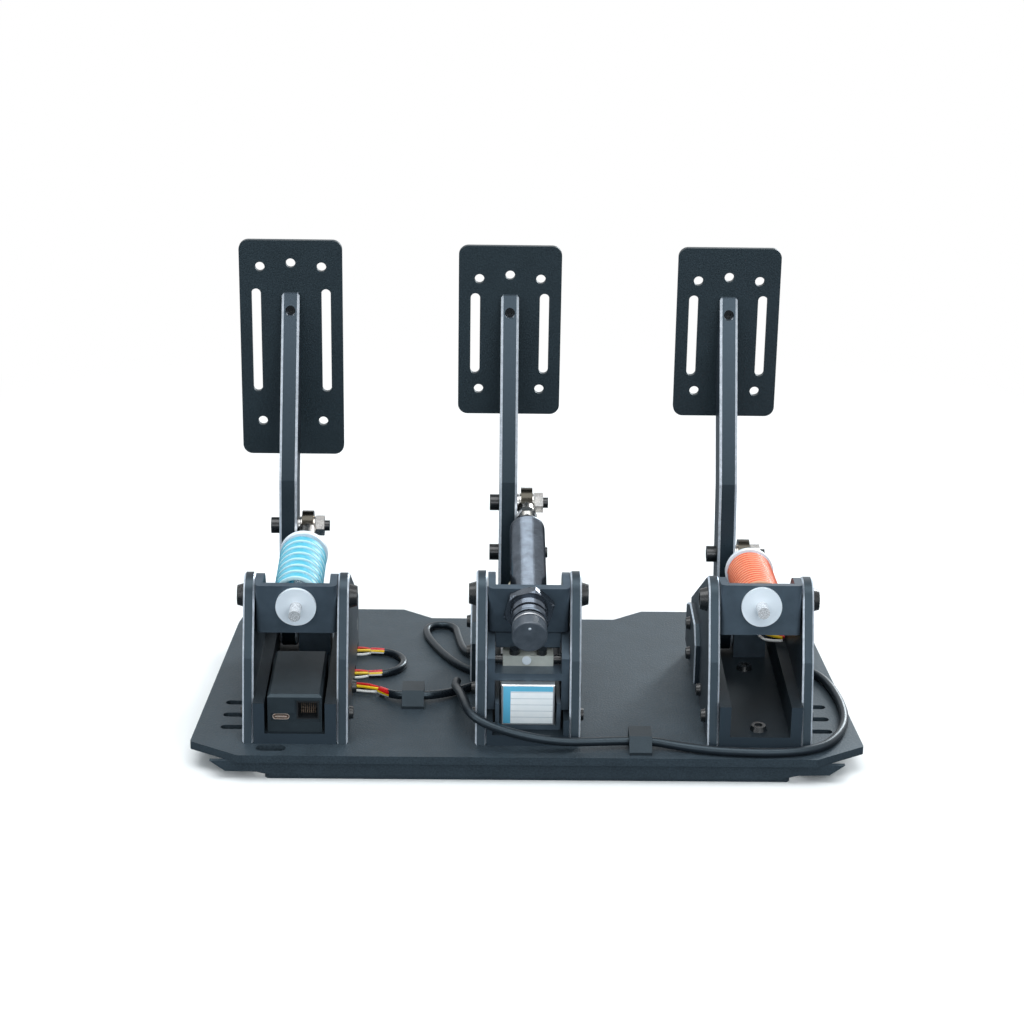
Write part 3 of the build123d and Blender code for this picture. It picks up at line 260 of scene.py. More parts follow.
# %% [markdown]
# ## One recipe for plain finishes
# Most coats, plastics and steels differ only in their numbers: a colour that drifts in patches, and
# a grain. One function holds that recipe, so that each of them is one line further on.

# %% Write the recipe
grains_to_a_patch = 14


def darker_and_paler(colour, down, up):
    return tuple(c * down for c in colour), tuple(c * up for c in colour)


def grained(name, colour, size, depth, strength, rough, spread, speckle=0.0, **shine):
    """Coating, plastic or rubber, whose colour drifts in patches and, by the speckle, in grains."""
    finish = Finish(name, **shine)
    fine = finish.grain(size, rough, strength, depth)
    patches = finish.spread(finish.noise(size * grains_to_a_patch, 4), 0.0, 1 - speckle)
    share = finish.math("ADD", patches, finish.spread(fine, 0.0, speckle))
    finish.colour(finish.mix(share, *darker_and_paler(colour, 1 - spread, 1 + spread)))
    return finish


# %% [markdown]
# ## Coated plates with bright cut edges
# The side plates and the arms are black coated, and their chamfers are cut afterwards, so a thin
# line of bare aluminium runs round each plate. A chamfer is the only face that points half
# sideways, so the finish tells it by its normal, and no extra piece is needed.

# %% Make the coated plates' finishes
blue_black = (0.66, 0.86, 1.0)
bare_metal, bare_share = (0.74, 0.80, 0.88), 0.7
half_sideways, edge_span = 0.71, 0.16


def plate_coat(name, colour, rough, specular=0.5):
    """A coat without its edges, and the colour that its faces have."""
    finish = Finish(name, specular=specular, tint=blue_black)
    finish.grain(0.5, rough, strength=0.22, depth=0.05)
    return finish, finish.drift(22, 4, *darker_and_paler(colour, 0.82, 1.2))


def bright_edges(finish, face_colour):
    """Bare metal, a little worn, wherever the surface points between sideways and along."""
    sideways = finish.math("ABSOLUTE", finish.facing()[0])
    edge = finish.math("COMPARE", sideways, half_sideways, edge_span)
    share = finish.math("MULTIPLY", edge, finish.spread(finish.noise(3.0, 3), 0.65, 1.0))
    finish.colour(finish.mix(share, face_colour, bare_metal))
    finish.metal(finish.math("MULTIPLY", share, bare_share))


frame_coat, frame_colour = plate_coat("frame_coat", (0.011, 0.017, 0.024), (0.34, 0.48))
bright_edges(frame_coat, frame_colour)

arm_coat, arm_colour = plate_coat("arm_coat", (0.005, 0.009, 0.013), (0.26, 0.38), specular=0.3)
# The arm's coat turns paler from 0.11 m to 0.2 m up: painted light, for the upper arm that catches the
# lamps.
paler_from, palest_from = 0.11, 0.2
painted_light_up_arm = arm_coat.spread(arm_coat.position()[2], 0.0, 1.0, (paler_from, palest_from))
bright_edges(arm_coat, arm_coat.mix(painted_light_up_arm, arm_colour, (0.046, 0.060, 0.075)))

# The channels take the frame's coat painted darker, as painted shade inside them, and their end faces that
# face back are painted paler, as painted light.
shaded_channel_coat, channel_shade_colour = plate_coat("shaded_channel_coat", (0.006, 0.009, 0.012), (0.45, 0.6), specular=0.3)
faces_back = 0.9
lit_end_face = shaded_channel_coat.math("GREATER_THAN", shaded_channel_coat.facing()[1], faces_back)
bright_edges(shaded_channel_coat, shaded_channel_coat.mix(lit_end_face, channel_shade_colour, (0.026, 0.037, 0.049)))
print("coats with bright edges", 3)

# %% [markdown]
# ## Powder coats
# The base, the face plates and the bent brackets have no cut edges. Their coat is a powder baked to
# a fine orange peel, so the grain is coarser and also speckles the colour.

# %% Make the powder coats
base_coat = grained(
    "base_coat", (0.025, 0.035, 0.044), 0.9, 0.2, 0.9, (0.42, 0.6), 0.42, speckle=0.7, tint=blue_black
)
face_coat = grained(
    "face_coat", (0.011, 0.017, 0.021), 0.9, 0.16, 0.8, (0.4, 0.56), 0.45, speckle=0.7, tint=blue_black
)
bracket_coat = grained(
    "bracket_coat", (0.044, 0.060, 0.078), 0.5, 0.05, 0.2, (0.34, 0.46), 0.15, tint=blue_black
)
print("powder coats", 3)

# %% [markdown]
# ## Steel, plastic and rubber
# Small hardware is told apart mostly by its gloss. Blackened screws are dark and a little oily,
# plated nuts mirror the room with faint turning marks, and the washers are milky nylon. One table
# holds them all, because they differ only in their numbers.

# %% Make the small hardware's finishes
small_finishes = {  # colour, size of a grain, its depth and strength, limits of roughness, spread
    "black_steel": ((0.009, 0.011, 0.013), 0.6, 0.02, 0.15, (0.2, 0.34), 0.3, {}),
    "bare_steel": ((0.46, 0.46, 0.47), 0.4, 0.02, 0.15, (0.22, 0.36), 0.08, {"metal": 1.0}),
    "bright_steel": ((0.62, 0.61, 0.59), 0.5, 0.015, 0.12, (0.12, 0.24), 0.1, {"metal": 1.0}),
    "bare_aluminium": ((0.66, 0.67, 0.68), 0.35, 0.02, 0.2, (0.3, 0.42), 0.06, {"metal": 0.9}),
    "port_metal": ((0.40, 0.40, 0.41), 0.3, 0.02, 0.15, (0.25, 0.4), 0.1, {"metal": 1.0}),
    "damper_black": ((0.095, 0.112, 0.135), 0.4, 0.02, 0.12, (0.18, 0.28), 0.2, {"metal": 0.85}),
    "knob_black": ((0.105, 0.125, 0.15), 0.4, 0.03, 0.2, (0.3, 0.42), 0.15, {"metal": 0.6}),
    "rod_steel": ((0.74, 0.74, 0.75), 0.6, 0.03, 0.12, (0.2, 0.32), 0.12, {"metal": 0.62}),
    "bar_steel": ((0.50, 0.52, 0.48), 0.4, 0.02, 0.2, (0.3, 0.42), 0.08, {"metal": 0.3}),
    "case_plastic": ((0.014, 0.019, 0.023), 0.35, 0.05, 0.35, (0.46, 0.6), 0.15, {"tint": blue_black}),
    "clip_plastic": ((0.011, 0.014, 0.017), 0.5, 0.05, 0.3, (0.42, 0.55), 0.2, {"tint": blue_black}),
    "lead_jacket": ((0.006, 0.008, 0.011), 0.9, 0.05, 0.3, (0.32, 0.45), 0.3, {"tint": blue_black}),
    "nylon": ((0.72, 0.78, 0.84), 1.2, 0.03, 0.12, (0.32, 0.46), 0.04, {}),
    "elastomer": ((0.66, 0.60, 0.44), 1.6, 0.05, 0.2, (0.4, 0.55), 0.07, {}),
}
finishes = {name: grained(name, *values, **shine) for name, (*values, shine) in small_finishes.items()}
nylon = finishes["nylon"]
nylon.shader.inputs["Subsurface Weight"].default_value = 0.15
nylon.shader.inputs["Subsurface Radius"].default_value = (2 * MM, 2 * MM, 2 * MM)
print("small finishes", len(finishes))

# %% [markdown]
# ## Ports and springs
# Both ports are one imported piece, a plated shell beside a plastic jack, so their finish changes at
# the line between them. The springs have a thick glossy coat, and each coil's edge that faces back
# is painted pale, as a painted highlight. The finish finds that edge by the direction it faces, where
# painting it by hand would take a map.

# %% Make the ports' and the springs' finishes
unit_gap = 123.6  # millimetres from one pedal to the next


def two_ports():
    """One finish for both ports: a plated shell towards the outer side, a plastic jack beside it."""
    finish = Finish("port_shells")
    shell = finish.math("GREATER_THAN", finish.position()[0], unit_gap * MM)
    plated = finish.drift(4, 3, (0.62, 0.48, 0.40), (0.78, 0.63, 0.54))
    finish.colour(finish.mix(shell, (0.010, 0.012, 0.014), plated))
    finish.metal(finish.math("MULTIPLY", shell, bare_share))
    finish.grain(0.5, (0.26, 0.4), strength=0.15, depth=0.02)
    return finish


def spring_coat(name, colour, pale, rim, highlight_from):
    """Thick glossy powder on flat wire, with a painted highlight where each coil's edge faces back."""
    finish = Finish(name, specular=0.4, coat=0.1)
    finish.shader.inputs["Coat Roughness"].default_value = 0.18
    # Faces that point back past the limit take the rim colour: a painted highlight along each coil's edge.
    edge = finish.math("GREATER_THAN", finish.facing()[1], highlight_from)
    finish.colour(finish.mix(edge, finish.drift(2.2, 4, colour, pale), rim))
    finish.grain(0.5, (0.28, 0.4), strength=0.15, depth=0.04)
    return finish


blue_coat = spring_coat("spring_blue", (0.066, 0.41, 0.56), (0.11, 0.47, 0.62), (0.62, 0.88, 0.94), 0.75)
orange_coat = spring_coat(
    "spring_orange", (0.63, 0.072, 0.010), (0.72, 0.105, 0.022), (0.90, 0.46, 0.29), 0.74
)
print("spring coats", blue_coat.material.name, orange_coat.material.name)

# %% [markdown]
# ## The struts' lines
# Each strut runs from a pivot in the frame to an eye on the pedal's arm. Springs, rubber, barrel
# and eye all lie on that line, so one helper turns a distance along it into a place in the set.

# %% Lay out the struts
hinge_line = (-30.5, 35.0)
arm_lean = radians(11.6)


class Strut:
    """The line from a pivot in the frame to an eye at that height over the hinge line."""

    def __init__(self, x, pivot, height):
        self.x, self.pivot = x, pivot
        self.eye = (hinge_line[0] - height * tan(arm_lean), hinge_line[1] + height)
        self.angle = atan2(self.eye[1] - pivot[1], pivot[0] - self.eye[0])
        self.length = hypot(self.eye[1] - pivot[1], pivot[0] - self.eye[0])

    def axis(self):
        """The direction from the pivot to the eye."""
        return Vector((0, -cos(self.angle), sin(self.angle)))

    def place(self, along):
        """The place at that many millimetres from the pivot, in metres."""
        return Vector((self.x, *self.pivot)) * MM + self.axis() * along * MM

    def matrix(self, along):
        """Moves a piece built along +Z to that place on the strut."""
        z = self.axis()
        x = Vector((1, 0, 0))
        turn = Matrix((x, z.cross(x), z)).transposed().to_4x4()
        return Matrix.Translation(self.place(along)) @ turn


struts = {
    "throttle": Strut(unit_gap, (47.0, 85.0), 55.5), "clutch": Strut(-unit_gap, (47.0, 85.0), 41.5),
    "damper": Strut(0.0, (47.0, 87.0), 69.5), "link": Strut(0.0, (49.5, 63.0), 41.5),
}
damper, link = struts["damper"], struts["link"]
print("strut lengths", {name: round(strut.length, 1) for name, strut in struts.items()})

# %% [markdown]
# ## Rod ends and arm bolts
# A rod end has a brass liner between its ball and its dark housing, and the black arm bolts carry
# plated nuts and spacers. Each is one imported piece, so its finish tells the metals apart by where
# they are: by the distance from the eye's middle, or from the unit's middle plane.

# %% Make the rod ends' and the bolts' finishes
liner_middle, liner_half = 5.85, 0.6
housing_middle, housing_half = 7.6, 1.1
nuts_middle, nuts_half, nuts_below = 6.8, 2.51, 125


def eye_steel(name, strut):
    """A rod end in three metals, told apart by the distance from the middle of its eye."""
    finish = Finish(name, metal=1.0)
    aside = [finish.math("SUBTRACT", side, eye * MM) for side, eye in zip(finish.position()[1:], strut.eye)]
    reach = finish.math("SQRT", finish.math("ADD", *(finish.math("MULTIPLY", a, a) for a in aside)))
    liner = finish.math("COMPARE", reach, liner_middle * MM, liner_half * MM)
    housing = finish.math("COMPARE", reach, housing_middle * MM, housing_half * MM)
    steel = finish.drift(4, 3, (0.40, 0.39, 0.38), (0.58, 0.56, 0.53))
    finish.colour(finish.mix(liner, finish.mix(housing, steel, (0.045, 0.042, 0.035)), (0.72, 0.44, 0.12)))
    finish.grain(0.5, (0.14, 0.28), strength=0.12, depth=0.02)
    return finish


def bolt_steel(name, unit_x):
    """Black bolts whose nuts and spacers, on both sides of the rod end, are plated."""
    finish = Finish(name)
    x, _, z = finish.position()
    beside = finish.math("ABSOLUTE", finish.math("SUBTRACT", x, unit_x * MM))
    nuts = finish.math("COMPARE", beside, nuts_middle * MM, nuts_half * MM)
    plated = finish.math("MULTIPLY", nuts, finish.math("LESS_THAN", z, nuts_below * MM))
    chrome = finish.drift(4, 3, (0.38, 0.38, 0.38), (0.55, 0.54, 0.52))
    finish.colour(finish.mix(plated, (0.009, 0.011, 0.013), chrome))
    finish.metal(plated)
    finish.grain(0.5, (0.16, 0.3), strength=0.12, depth=0.02)
    return finish


print("liners from", liner_middle - liner_half, "to", liner_middle + liner_half, "mm round the eyes")

# %% [markdown]
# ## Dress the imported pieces
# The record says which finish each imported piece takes, so one loop dresses them all. A few nodes
# need a finish of their own: the bent brackets, whose bends would look like chamfers, and the
# pieces that hold several metals.

# %% Assign the finishes
finishes.update({
    "base_coat": base_coat, "frame_coat": frame_coat, "arm_coat": arm_coat, "face_coat": face_coat,
    "spring_blue": blue_coat, "spring_orange": orange_coat, "wire_jacket": finishes["lead_jacket"],
})
special = {name: bracket_coat for name in (
    "throttle_bracket", "brake_bracket", "clutch_bracket", "link_block", "cell_yoke", "cell_cradle",
    "sensor_housings",
)}
special["controller_ports"] = two_ports()
special["bearing_bar"] = finishes["bar_steel"]
special["throttle_rod"] = special["clutch_rod"] = finishes["rod_steel"]
for unit, unit_x in (("throttle", unit_gap), ("brake", 0.0), ("clutch", -unit_gap)):
    # The channels take the coat with painted shade and painted light.
    special[f"{unit}_channel"] = shaded_channel_coat
    special[f"{unit}_arm_bolts"] = bolt_steel(f"{unit}_bolt_steel", unit_x)
for name, strut in struts.items():
    special[f"{name}_rod_end"] = eye_steel(f"{name}_eye_steel", strut)

for part in frame["record"]["subparts"]:
    finish = special.get(part["node"], finishes[part["material_slot"]])
    dressed = nodes[part["node"]].data
    dressed.materials.clear()
    dressed.materials.append(finish.material)

# %% [markdown]
# ## Helpers for new pieces
# A new piece is built at the origin and moved into its place inside its mesh. Then it gets its
# finish and the body that it rides on, and the imported nodes that it replaces are hidden.

# %% Make the helper that settles a piece
def settle(name, mesh, body, finish=None, replaces=(), smooth=True):
    """Makes a mesh a piece. Without a finish, the mesh keeps the materials that it has."""
    if finish is not None:
        mesh.materials.clear()
        mesh.materials.append(finish.material)
    if smooth:
        mesh.shade_smooth()
    else:
        mesh.shade_flat()
    piece = bpy.data.objects.new(name, mesh)
    scene.collection.objects.link(piece)
    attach(piece, body)
    if replaces:
        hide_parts(*replaces)
    return piece


# %% [markdown]
# ## Helpers for shapes
# Round parts come from a lathe, and what repeats comes from Geometry Nodes. A node tree stays live
# in its modifier, so its result is taken as a plain mesh before the piece is settled.

# %% Make the helpers for shapes
def finished_mesh(name, shape):
    """Turns the faces of the shape outwards, and gives it back as a mesh."""
    bmesh.ops.recalc_face_normals(shape, faces=shape.faces)
    mesh = bpy.data.meshes.new(name)
    shape.to_mesh(mesh)
    shape.free()
    return mesh


def turned(name, outline, steps):
    """Spins an outline of (radius, height) pairs in millimetres round Z, as a lathe does."""
    shape = bmesh.new()
    ring = [shape.verts.new((r * MM, 0, h * MM)) for r, h in outline]
    edges = [shape.edges.new(pair) for pair in zip(ring, ring[1:])]
    bmesh.ops.spin(shape, geom=ring + edges, axis=(0, 0, 1), cent=(0, 0, 0),
                   steps=steps, angle=2 * pi, use_merge=True)
    bmesh.ops.remove_doubles(shape, verts=shape.verts, dist=0.002 * MM)
    return finished_mesh(name, shape)


def geometry_tree(name, sizes):
    """A node tree with one named input for each size, and its input and output nodes."""
    tree = bpy.data.node_groups.new(name, "GeometryNodeTree")
    tree.interface.new_socket("Geometry", in_out="INPUT", socket_type="NodeSocketGeometry")
    tree.interface.new_socket("Geometry", in_out="OUTPUT", socket_type="NodeSocketGeometry")
    for size, value in sizes.items():
        kind = "NodeSocketInt" if isinstance(value, int) else "NodeSocketFloat"
        tree.interface.new_socket(size, in_out="INPUT", socket_type=kind).default_value = value
    return tree, tree.nodes.new("NodeGroupInput"), tree.nodes.new("NodeGroupOutput")


def grow(tree, name, sizes):
    """Runs the tree on an empty mesh with those sizes, and returns the plain mesh that it makes."""
    start = bpy.data.objects.new(name + "_start", bpy.data.meshes.new(name + "_start"))
    scene.collection.objects.link(start)
    modifier = start.modifiers.new("grow", "NODES")
    modifier.node_group = tree
    for item in tree.interface.items_tree:
        if item.item_type == "SOCKET" and item.in_out == "INPUT" and item.name in sizes:
            modifier[item.identifier] = sizes[item.name]
    graph = bpy.context.evaluated_depsgraph_get()
    mesh = bpy.data.meshes.new_from_object(start.evaluated_get(graph))
    start.modifiers.remove(modifier)
    bpy.data.objects.remove(start)
    mesh.name = name
    return mesh


# %% [markdown]
# ## Coil springs
# A spring of this kind is wound from flat wire: a rounded strip that is taller than it is thick. The
# Curve to Mesh node sweeps a strip along a spiral, and its inputs are the ones that a spring maker
# would ask for.

# %% Build the spring's tree
spring_sizes = {
    "Turns": 7.0, "Radius": 11.4 * MM, "Length": 52.6 * MM, "Strip Height": 4.9 * MM,
    "Strip Width": 3.0 * MM, "Edge Radius": 0.81 * MM,
}
spring_tree, given, made = geometry_tree("flat_wire_spring", spring_sizes)
spiral, upright, strip, soften, sweep, whole, paint = [
    spring_tree.nodes.new("GeometryNode" + kind) for kind in (
        "CurveSpiral", "SetCurveNormal", "CurvePrimitiveQuadrilateral", "FilletCurve", "CurveToMesh",
        "RealizeInstances", "SetMaterial",
    )
]
spiral.inputs["Resolution"].default_value = 40
upright.mode = "Z_UP"
soften.mode = "POLY"
soften.inputs["Count"].default_value = 3
sweep.inputs["Fill Caps"].default_value = True
join(
    spring_tree, (given, "Turns", spiral, "Rotations"), (given, "Radius", spiral, "Start Radius"),
    (given, "Radius", spiral, "End Radius"), (given, "Length", spiral, "Height"),
    (given, "Strip Width", strip, "Width"), (given, "Strip Height", strip, "Height"),
    (given, "Edge Radius", soften, "Radius"), (spiral, 0, upright, "Curve"), (upright, 0, sweep, "Curve"),
    (strip, 0, soften, "Curve"), (soften, 0, sweep, "Profile Curve"), (sweep, 0, whole, 0),
    (whole, 0, paint, 0), (paint, 0, made, 0),
)
print("spring tree", len(spring_tree.nodes), "nodes")

# %% [markdown]
# ## Winding the two springs
# The throttle's blue spring has few thick coils, and the clutch's orange one has many thin ones.
# Both stand between the bracket's flange and the cup on the rod.

# %% Wind the springs
spring_foot, spring_length = -8.15, 57.5
edge_share = 0.27


def wind(unit, turns, radius, height, width, coat):
    strut = struts[unit]
    paint.inputs["Material"].default_value = coat.material
    mesh = grow(spring_tree, f"{unit}_coil", {
        "Turns": turns, "Radius": radius * MM, "Length": (spring_length - height) * MM,
        "Strip Height": height * MM, "Strip Width": width * MM, "Edge Radius": edge_share * width * MM,
    })
    mesh.transform(strut.matrix(spring_foot + height / 2))
    piece = settle(f"{unit}_coil", mesh, f"{unit}_carrier", replaces=(f"{unit}_spring",))
    strut.axis()
    strut.place(spring_foot)
    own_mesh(piece)
    print(piece.name, len(mesh.vertices), "points")


wind("throttle", 7.0, 11.4, 4.9, 3.0, blue_coat)
wind("clutch", 14.0, 11.3, 2.4, 2.2, orange_coat)

# %% [markdown]
# ## Elastomers
# The brake has no coil spring. It squeezes three thick rubber rings on the link, which bulge a
# little between their flat faces. A lathe outline with a crowned side gives that shape.

# %% Turn the rubber rings
ring_count, ring_start, ring_thick, ring_gap = 3, 16.3, 10.4, 0.35
ring_bore, rim_radius, bulge, flatness = 4.1, 10.7, 1.25, 5
side_steps, link_travel = 12, 5.0
rings = bmesh.new()
for number in range(ring_count):
    low = number * ring_thick
    high = low + ring_thick - ring_gap
    side = []
    for step in range(side_steps + 1):
        share = step / side_steps
        crown = 1 - abs(2 * share - 1) ** flatness
        side.append((rim_radius + bulge * crown, low + share * (high - low)))
    ring = turned("ring", [(ring_bore, low), *side, (ring_bore, high), (ring_bore, low)], 56)
    rings.from_mesh(ring)
    bpy.data.meshes.remove(ring)
stack = bpy.data.meshes.new("rubber_stack")
rings.to_mesh(stack)
rings.free()
stack.transform(link.matrix(ring_start))
rubber = settle("rubber_stack", stack, "link_carrier", finishes["elastomer"], ("elastomers",))
link.axis()
link.place(ring_start)
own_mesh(rubber)
print("rubber rings", len(stack.vertices), "points")

# %% [markdown]
# ## Damper barrel
# The barrel is threaded from end to end, so that its big nut can set the pedal's place. The thread is
# fine, and a row of shallow rings looks the same at this size and keeps the mesh closed. The plain
# groove near the knob is turned down to the thread's root.

# %% Turn the threaded barrel
barrel_radius, barrel_tail, barrel_nose = 9.8, -27.5, damper.length - 26.5
thread_pitch, thread_depth = 1.5, 0.42
groove_low, groove_high, groove_radius = -24.0, -22.0, barrel_radius - 1.2
spindle_radius, spindle_end = 2.45, barrel_tail - 9.0
bore_radius, bore_end = 4.1, barrel_nose - 47.5
nose_radius, nose_length, nose_steps = 3.3, 3.4, 8


def thread(start, end):
    """The outline of shallow rings, one for each turn that begins before the end."""
    rings, along = [], start
    while along < end:
        rings += [(barrel_radius - thread_depth, along), (barrel_radius, along + thread_pitch / 2)]
        along += thread_pitch
    return rings


nose = [
    (barrel_radius - nose_radius * (1 - cos(turn)), barrel_nose - nose_length * (1 - sin(turn)))
    for turn in (radians(90 * step / nose_steps) for step in range(nose_steps + 1))
]
barrel_outline = [
    (0.0, spindle_end), (spindle_radius, spindle_end), (spindle_radius, barrel_tail),
    (barrel_radius - 0.9, barrel_tail), (barrel_radius - 0.3, barrel_tail + 0.4),
    *thread(barrel_tail + 0.9, groove_low - 0.6),
    (barrel_radius - 0.2, groove_low), (groove_radius, groove_low + 0.1),
    (groove_radius, groove_high - 0.1), (barrel_radius - 0.2, groove_high),
    *thread(groove_high + 0.4, barrel_nose - 4.2), *nose,
    (bore_radius, barrel_nose), (bore_radius, bore_end), (0.0, bore_end),
]
barrel = turned("damper_barrel", barrel_outline, 72)
barrel.transform(damper.matrix(0))
settle("damper_barrel", barrel, "damper_carrier", finishes["damper_black"],
       ("damper_body",), smooth=False)
print("barrel", len(barrel.polygons), "faces")

# %% [markdown]
# ## Big nut
# The nut that holds the barrel has six sides and a chamfered rim, and stands turned a little, as it
# was left after setting. A cylinder with six sides would lack the rim's curved chamfer, so each
# step round the bore gets an outline of its own.

# %% Shape the nut
def hex_nut(name, bore, width, low, high, turn, bevel=1.1, rim_width=1.04, steps=72):
    """A six-sided nut between two heights, with a round bore and both rims chamfered."""
    shape = bmesh.new()
    loops = []
    for step in range(steps):
        angle = 2 * pi * step / steps
        flat = width / 2 / cos((angle + pi / 6) % (pi / 3) - pi / 6)
        rim = min(flat, rim_width * width / 2)
        c, s = cos(angle + turn), sin(angle + turn)
        outline = (
            (bore, low), (rim, low), (flat, low + bevel), (flat, high - bevel), (rim, high), (bore, high)
        )
        loops.append([shape.verts.new((r * c * MM, r * s * MM, h * MM)) for r, h in outline])
    for first, second in zip(loops, loops[1:] + loops[:1]):
        for corner in range(6):
            after = (corner + 1) % 6
            shape.faces.new((first[corner], second[corner], second[after], first[after]))
    return finished_mesh(name, shape)


nut = hex_nut("damper_hex_nut", bore=9.95, width=24.4, low=-18.0, high=-12.5, turn=radians(13.5))
nut.transform(damper.matrix(0))
settle("damper_hex_nut", nut, "damper_carrier", finishes["damper_black"], ("damper_nut",),
       smooth=False)
print("nut", len(nut.polygons), "faces")

# %% [markdown]
# ## Knob
# The knob is a plain turned drum with two rounded rings at its neck, and the groove between them is
# bright. Its finish measures how far each point lies along the strut, so the bright line needs no
# piece of its own.

# %% Turn the knob
knob_face, bright_line, bright_half = -40.7, -31.5, 0.45
knob_outline = [
    (0.0, knob_face), (8.7, knob_face), (9.1, -40.5), (9.3, -40.1), (9.3, -33.4), (8.9, -33.0),
    (8.5, -32.6), (8.5, -32.2), (9.1, -31.9), (9.25, -31.5), (9.1, -31.1), (8.5, -30.8), (8.5, -30.4),
    (9.0, -30.1), (9.1, -29.7), (9.0, -29.3), (8.4, -28.9), (8.2, -28.1), (2.6, -28.1), (2.6, -37.6),
    (0.0, -37.6),
]
knob = turned("adjuster_drum", knob_outline, 72)
knob.transform(damper.matrix(0))

knob_finish = Finish("knob_rings")
run = damper.axis()
along = knob_finish.math("ADD", *(
    knob_finish.math("MULTIPLY", knob_finish.math("SUBTRACT", side, start * MM), share)
    for side, start, share in zip(knob_finish.position()[1:], damper.pivot, (run.y, run.z))
))
bright = knob_finish.math("COMPARE", along, bright_line * MM, bright_half * MM)
drum = knob_finish.drift(5, 3, (0.045, 0.056, 0.07), (0.075, 0.09, 0.11))
knob_finish.colour(knob_finish.mix(bright, drum, (0.42, 0.43, 0.45)))
knob_finish.metal(bright)
knob_finish.grain(0.4, (0.26, 0.4), strength=0.2, depth=0.02)
settle("adjuster_drum", knob, "adjuster", knob_finish, ("damper_knob",), smooth=False)

print("knob", len(knob.polygons), "faces")

# %% [markdown]
# ## Pad on the bearing bar
# Under the knob a round white pad sits on the bar, where the knob would otherwise knock against it.
# It is turned like the rest and stands on the bar's rear face.

# %% Turn the pad
pad_place = Vector((0.8, 61.5, 54.6)) * MM
pad = turned("bar_pad", [(0.0, 0.0), (2.45, 0.0), (2.45, 0.5), (2.2, 0.75), (0.0, 0.75)], 32)
pad.transform(Matrix.Translation(pad_place) @ Matrix.Rotation(radians(-90), 4, "X"))
settle("bar_pad", pad, "frame", nylon, smooth=False)
print("pad", len(pad.polygons), "faces")

# %% [markdown]
# ## Leads
# The sensors and the load cell are joined to the box by round black leads, which lie on the base and
# pass through holes in the plates. Each is one smooth NURBS line with a round section, as a real
# cable bends: never in corners. Both ends of each lead go back into the set.

# %% Plan the leads' routes
sensor_route = (
    (88, -31.9, 17.2), (80, -31.8, 17.2), (73, -27.6, 17.2), (68.8, -20.6, 17.2),
    (68.9, -12.5, 17.2), (73, -5.4, 17.2), (80.1, -1.3, 17.2), (88, -0.9, 17.2),
)
harness_route = (
    (80.6, 22.0, 17.6), (75.4, 27.7, 18.3), (69.0, 31.0, 19.05), (55.4, 31.0, 19.05), (47.6, 27.9, 18.5),
    (41, 23.4, 17.8), (34.5, 18.9, 17.6), (28.9, 15.0, 17.6), (23.4, 12.4, 17.8),
)
loop_route = (
    (22.8, -24.4, 17.6), (30, -27.0, 17.4), (34.9, -34.2, 17.3), (37.2, -46, 17.2), (38.8, -57.4, 17.3),
    (39.6, -64.5, 17.2), (42.9, -69.2, 17.2), (48.4, -71.0, 17.2), (53.8, -69.0, 17.2), (57.0, -64.3, 17.2),
    (56.4, -55.4, 17.2), (51.2, -39.5, 17.3), (43.0, -22.2, 17.2), (35.8, -11.4, 17.3), (29.6, -5.6, 17.3),
    (22.8, -2.9, 17.6),
)
long_route = (
    (38.3, 19.6, 22.7), (39.0, 27, 24.0), (38.7, 36, 27.0), (37.3, 47.4, 30.6), (35.4, 59.6, 33.0),
    (33.6, 71, 34.2), (32.0, 80.5, 33.8), (26.8, 87.4, 31.8), (18.4, 91.0, 29.2), (6, 92.0, 25.6),
    (-7, 91.6, 22.6), (-21, 90.2, 20.4), (-35, 87.6, 19.5), (-49.5, 85.6, 19.2), (-66.5, 85.5, 19.1),
    (-80, 88.4, 17.7), (-97, 92.8, 17.5), (-114, 94.9, 17.6), (-131, 94.9, 17.5), (-146.2, 92.6, 17.5),
    (-157.0, 87.0, 17.5), (-163.6, 78.8, 17.5), (-168.8, 68.8, 17.6), (-172.0, 58.4, 17.5),
    (-173.5, 46.2, 17.6), (-173.4, 33.6, 17.5), (-172.0, 20, 17.5), (-169.6, 7.4, 17.6),
    (-165.6, -3.0, 17.5), (-160.0, -10.0, 17.5), (-153.4, -13.4, 17.5), (-146.8, -14.2, 17.6),
)
print("route points", [len(r) for r in (sensor_route, harness_route, loop_route, long_route)])

# %% [markdown]
# ## Where the jackets begin
# Two leads come out of the throttle unit as four bare wires, and the black jacket begins a little
# further on. The wires lie flat side by side there, so bands of colour by height show them well
# enough, and the lead stays one line.

# %% Make the stripped leads' finish
wire_colours = {
    "yellow": (0.85, 0.56, 0.01), "red": (0.60, 0.012, 0.012), "black": (0.012, 0.012, 0.013),
    "white": (0.86, 0.86, 0.84),
}
wire_bands = ((0.0, (0.010, 0.010, 0.011)), (0.36, wire_colours["white"]), (0.56, wire_colours["yellow"]),
              (0.80, wire_colours["red"]))
lowest_wire, wires_high, ragged_by = 15.2, 4.4, 0.5


